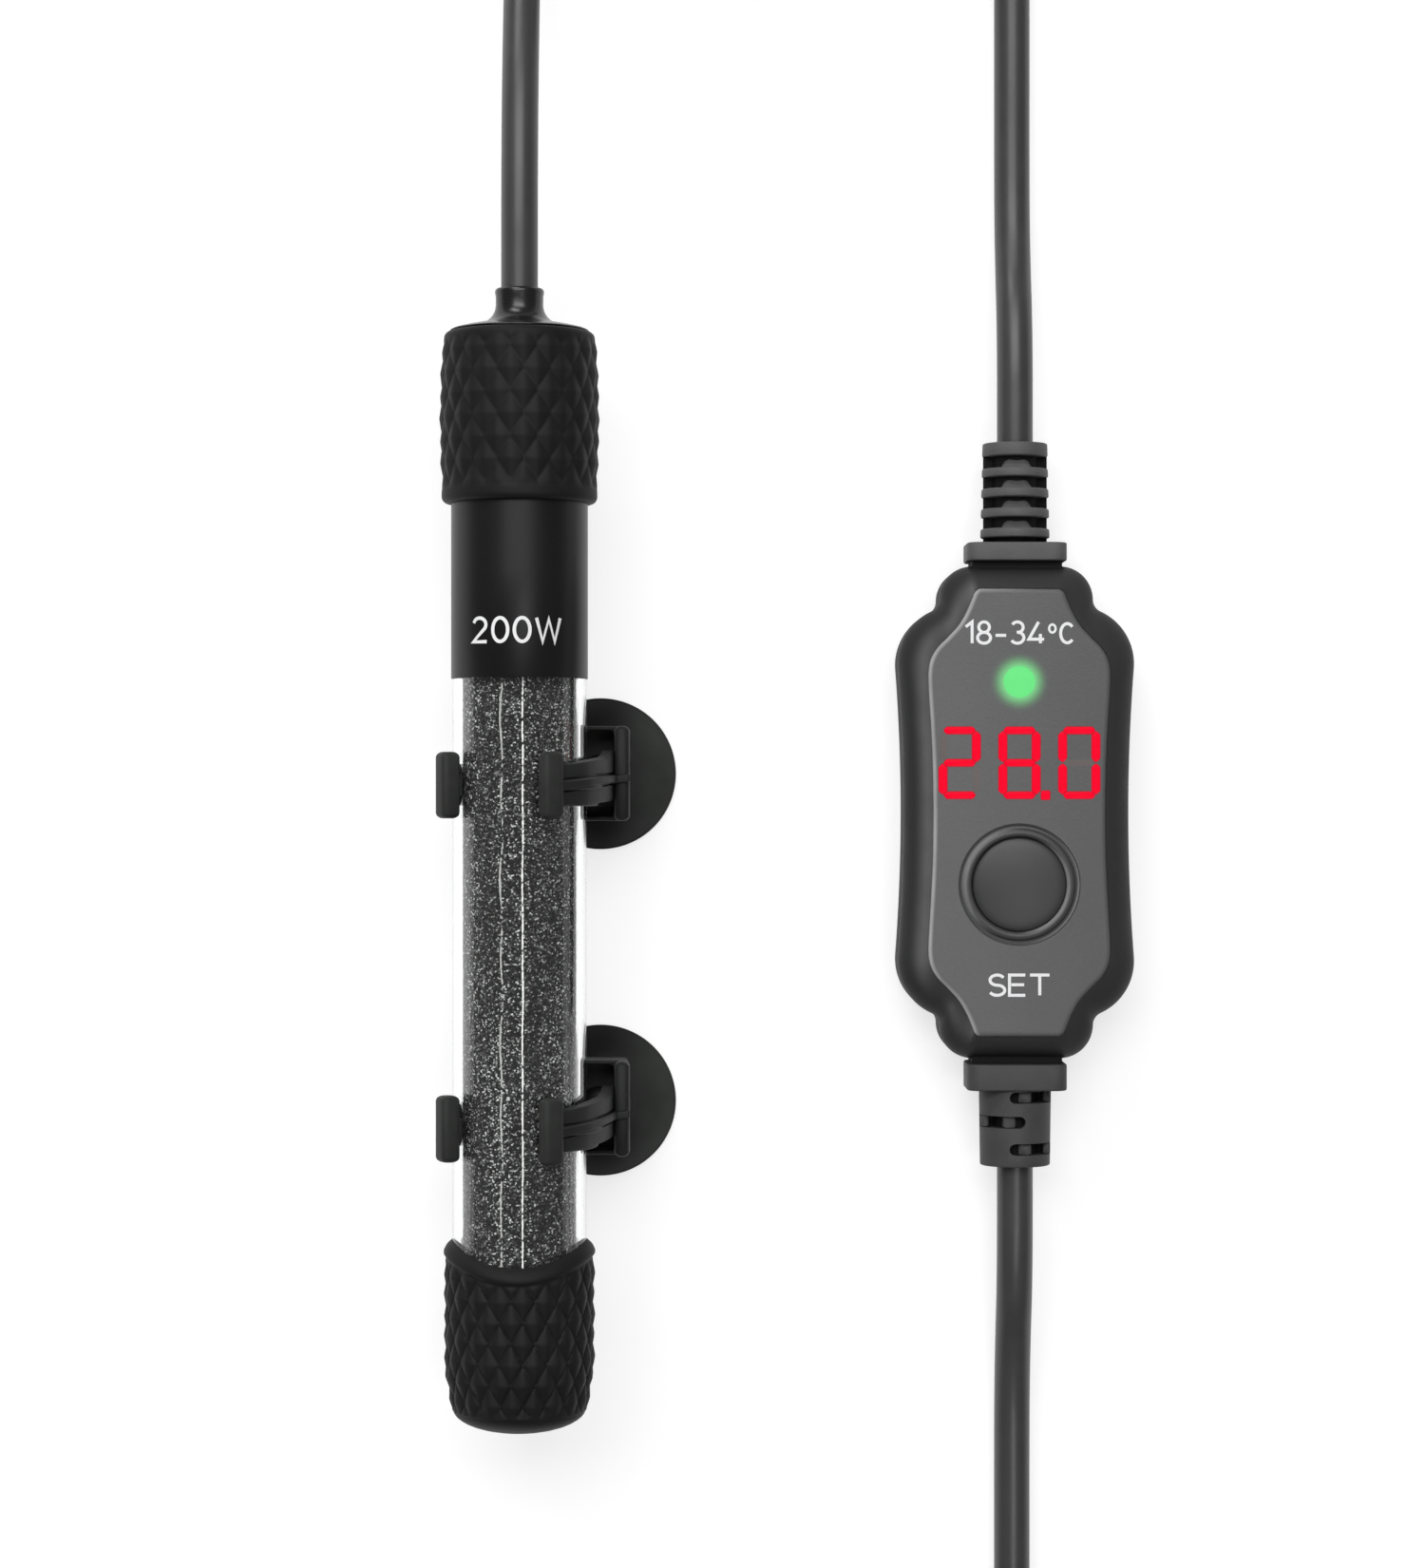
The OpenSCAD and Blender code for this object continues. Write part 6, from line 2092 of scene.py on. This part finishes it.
@dataclass
class Leads:
    """Both leads with their windings, ties and plug."""

    heater_x: float = -50.5
    controller_x: float = 43.5
    low_layer: float = 4.75
    top_layer: float = 12.15
    plug_z: float = 6.9
    plug_face: float = -284.0
    plug_length: float = 54.0
    plug_points: int = 96
    pin_gap: float = 18.6
    pin_r: float = 2.0

    def heater_route(self) -> list[Point3]:
        """Heater's neck, winding beyond the view, then the controller's upper relief.

        Returns:
            Points of the route.
        """
        shares = (0, 0.15, 0.3, 0.45, 0.6, 0.75, 0.9, 1)
        drops = (0, 0.04, 0.15, 0.35, 0.58, 0.8, 0.96, 1)
        x = self.heater_x
        route = [(x, 106.0, 31.0), (x, 113.0, 31.0)]
        route += [(x, 120.5 + 83.5 * s, 31.0 - 18.85 * d) for s, d in zip(shares, drops)]
        route += [(x, 213.1, self.top_layer)]
        route += Winding((-3.5, 220.0), 47.0, 180.0, 2.5, (self.top_layer, self.low_layer)).points()
        down = ((213.1, 4.75), (200, 4.75), (184, 4.05), (168, 3.55), (152, 3.55), (135.3, 3.55), (123.3, 4.25))
        down += ((113.3, 6.45), (104.3, 9.4), (95.3, 10.8), (87.3, 11.0), (78.6, 11.0))
        return route + [(self.controller_x, y, z) for y, z in down]

    def supply_route(self) -> list[Point3]:
        """Controller's lower relief, winding beyond the view, then the plug.

        Returns:
            Points of the route.
        """
        x = self.controller_x
        down = ((-58.2, 11.0), (-66.85, 11.0), (-74.85, 10.8), (-83.85, 9.4), (-92.85, 6.45), (-102.85, 4.25))
        down += ((-114.85, 3.55), (-130.85, 3.55), (-146.85, 3.55), (-162.85, 4.05), (-174.0, 4.75), (-181.1, 4.75))
        route = [(x, y, z) for y, z in down]
        route += Winding((0.5, -188.0), 43.0, 0.0, 2.0, (self.low_layer, self.top_layer)).points()
        out = ((-194.9, 12.15), (-200, 12.15), (-208, 10.95), (-216, 8.1), (-224, 6.9), (-232.0, 6.9))
        return route + [(x, y, z) for y, z in out]

    def build_ties(self) -> list[Piece]:
        """Straps round the windings."""
        ties = (("heater_coil_tie", (-3.5, 220.0), 41.45, -90.0), ("supply_coil_tie", (0.5, -188.0), 39.3, 180.0))
        return [Tie(*tie).build() for tie in ties]

    def plug_ring(self, along: float, inset: float = 0.0) -> list[Point3]:
        """Outline across the plug.

        Args:
            along: distance from the tail's end towards the pins.
            inset: how far the outline is drawn in.

        Returns:
            The outline's points.
        """
        tail = 4.65 + 0.04 * along - 0.75 * groove(along, 3.2, 4.4, 3, 1.8)
        shoulder = smooth_step(along, 17.0, 33.0)
        wide = tail + (17.0 - tail) * shoulder - 3.2 * smooth_step(along, 43.0, 56.0)
        wide -= 0.55 * groove(along, 31.5, 2.6, 6, 1.7) + inset
        tall = tail + (6.8 - tail) * smooth_step(along, 17.0, 28.0) - 0.9 * smooth_step(along, 46.0, 56.0) - inset
        power = 2.0 / (2.0 + 3.2 * shoulder)
        ring = []
        y = self.plug_face + self.plug_length - along
        for turn in turns(self.plug_points):
            c, s = cos(turn), sin(turn)
            x = self.controller_x + wide * copysign(abs(c) ** power, c)
            ring.append((x, y, self.plug_z + tall * copysign(abs(s) ** power, s)))
        return ring

    def pin_place(self, x: float, radius: float, turn: float, out: float) -> Point3:
        """Lathe place round a pin, out from the plug's face."""
        return (x + radius * cos(turn), self.plug_face - out, self.plug_z + radius * sin(turn))

    def build_plug(self) -> list[Piece]:
        """Flat two-pin plug with a ribbed tail and finger grips, and its half-sleeved pins.

        Returns:
            Its pieces.
        """
        edge, r = 1.1, self.pin_r
        rings = [self.plug_ring(0.0, 0.4)] + [self.plug_ring(0.3 + 0.35 * i) for i in range(150)]
        for a in map(radians, range(9, 91, 9)):
            rings.append(self.plug_ring(self.plug_length - edge * (1 - sin(a)), edge * (1 - cos(a))))
        pieces = [settle(skin("plug_shell", rings), PLUG, Slot.PLUG, "plug_body")]
        bare = [(0.0, 10.0), (r - 0.12, 10.0), (r - 0.12, 17.2), (r - 0.2, 17.9), (r - 0.5, 18.5), (r - 1.1, 18.9)]
        bare += [(0.0, 19.0)]
        cover = [(0.0, -2.0), (r - 0.5, -2.0), (r - 0.5, 0.02), (r, 0.05), (r, 9.9), (r - 0.1, 10.0), (0.0, 10.0)]
        for side, name, nodes in ((-1, "left", ("plug_pins",)), (1, "right", ())):
            place = partial(self.pin_place, self.controller_x + side * self.pin_gap / 2)
            metal = lathe(f"pin_{name}_metal", bare, place, 48)
            pieces.append(settle(metal, PIN_METAL, Slot.PIN, *nodes))
            pieces.append(settle(lathe(f"pin_{name}_sleeve", cover, place, 48), PIN_SLEEVE, Slot.PIN))
        return pieces

    def build(self) -> None:
        """Builds ties, plug and both leads."""
        heater_tie, supply_tie = self.build_ties()
        plug = self.build_plug()
        heater_nodes = ("heater_lead", "heater_lead_coil", "controller_lead")
        supply_nodes = ("supply_lead", "supply_lead_coil", "plug_lead")
        Lead("heater_cord", self.heater_route(), FarEnd.OBJECT, heater_nodes).build(heater_tie)
        Lead("supply_cord", self.supply_route(), FarEnd.PLUG, supply_nodes).build(supply_tie, *plug)


# Studio


@dataclass
class Studio:
    """White floor, soft lamps and the camera above."""

    image: Point2 = (1500.0, 1650.0)
    focal: float = 4000.0
    eye: Point3 = (-14.5, 14.1, 740.0)
    sensor: float = 36.0
    sky: float = 0.2

    def build_camera(self) -> None:
        """Camera that looks straight down, with +Y up in the picture."""
        data = bpy.data.cameras.new("view_camera")
        data.sensor_fit = "VERTICAL"
        data.sensor_height = self.sensor
        data.lens = self.sensor * self.focal / self.image[1]
        data.clip_start = 0.01
        data.clip_end = 20.0
        camera = link(data, "view_camera")
        camera.location = Vector(self.eye) * MM
        bpy.context.scene.camera = camera

    def build_floor(self) -> None:
        """Wide white floor that keeps the object's shadow."""
        side, top, low = 3000.0, -0.2, -20.2
        square = ((-side, -side), (side, -side), (side, side), (-side, side))
        floor = skin("studio_floor", [[(x, y, z) for x, y in square] for z in (top, low)], crease=20)
        surface = Surface("studio_white")
        surface.set(Base_Color=(0.42, 0.42, 0.42), Roughness=0.9, Specular_IOR_Level=0.0)
        glow = surface.node("Emission", None, {"Color": (1.0, 1.0, 1.0), "Strength": 0.66})
        none = surface.node("Emission", None, {"Color": (0.0, 0.0, 0.0), "Strength": 0.0})
        seen = surface.rays("Camera", "Glossy", "Transmission")
        shine = surface.blend("MixShader", none, glow, factor=seen)
        surface.cover(surface.blend("AddShader", None, shine))
        floor.data.materials.append(surface.material)

    def build_world(self) -> None:
        """Even pale surroundings, white where the camera sees them."""
        world = bpy.data.worlds.new("studio_world")
        bpy.context.scene.world = world
        world.use_nodes = True
        nodes, back = Nodes(world.node_tree), world.node_tree.nodes["Background"]
        nodes.feed(back.inputs["Color"], (1.0, 1.0, 1.0))
        nodes.feed(back.inputs["Strength"], self.sky + (1.0 - self.sky) * nodes.rays("Camera"))

    def build_lamps(self) -> None:
        """Soft lamps: one overhead, a key from the picture's top, a strip at the left and a small one low down."""
        target = Vector((-5.0, 0.0, 15.0)) * MM
        for name, spot, size, power in (
            ("overhead", (-0.1, 0.95, 2.1), (1.9, 1.0), 32.5),
            ("key", (-0.5, 1.6, 1.0), (0.9, 0.5), 10.0),
            ("left_strip", (-1.4, 0.5, 0.75), (0.5, 1.4), 6.0),
            ("low_strip", (0.3, -0.47, 2.0), (0.9, 0.22), 6.0),
        ):
            data = bpy.data.lights.new(name, "AREA")
            data.shape = "RECTANGLE"
            data.size, data.size_y = size
            data.energy = power
            lamp = link(data, name)
            lamp.location = spot
            lamp.visible_glossy = name != "left_strip"
            lamp.rotation_euler = (Vector(spot) - target).to_track_quat("Z", "Y").to_euler()

    @staticmethod
    def shade(lamp: str, piece: str) -> None:
        """Keeps a lamp's glare off one piece, as a card held beside the lamp does.

        Args:
            lamp: the lamp's name.
            piece: the piece that it leaves out.
        """
        shaded = bpy.data.collections.new(f"{lamp}_shade")
        shaded.objects.link(bpy.data.objects[piece])
        shaded.collection_objects[0].light_linking.link_state = "EXCLUDE"
        bpy.data.objects[lamp].light_linking.receiver_collection = shaded

    def build(self) -> None:
        """Builds the studio."""
        self.build_camera()
        self.build_floor()
        self.build_world()
        self.build_lamps()
        bpy.context.scene.view_settings.view_transform = "Standard"


def dress_inner() -> None:
    """Gives every CAD node that stays its finish."""
    for name, finish in INNER_FINISHES.items():
        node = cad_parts[name]
        node.data.materials.clear()
        node.data.materials.append(finish.material())
        LOG.info("%s dressed", name)


def main() -> None:
    """Builds the studio, the leads and then every sub-assembly."""
    logging.basicConfig(level=logging.INFO, format="%(message)s")
    Studio().build()
    Leads().build()
    Heater().build()
    Holder(End.UPPER, 13.9, (-36.3, 16.1)).build()
    Holder(End.LOWER, -49.6, (-36.3, -47.4)).build()
    Controller().build()
    Studio.shade("low_strip", "clear_tube")
    dress_inner()


if __name__ == "__main__":
    main()
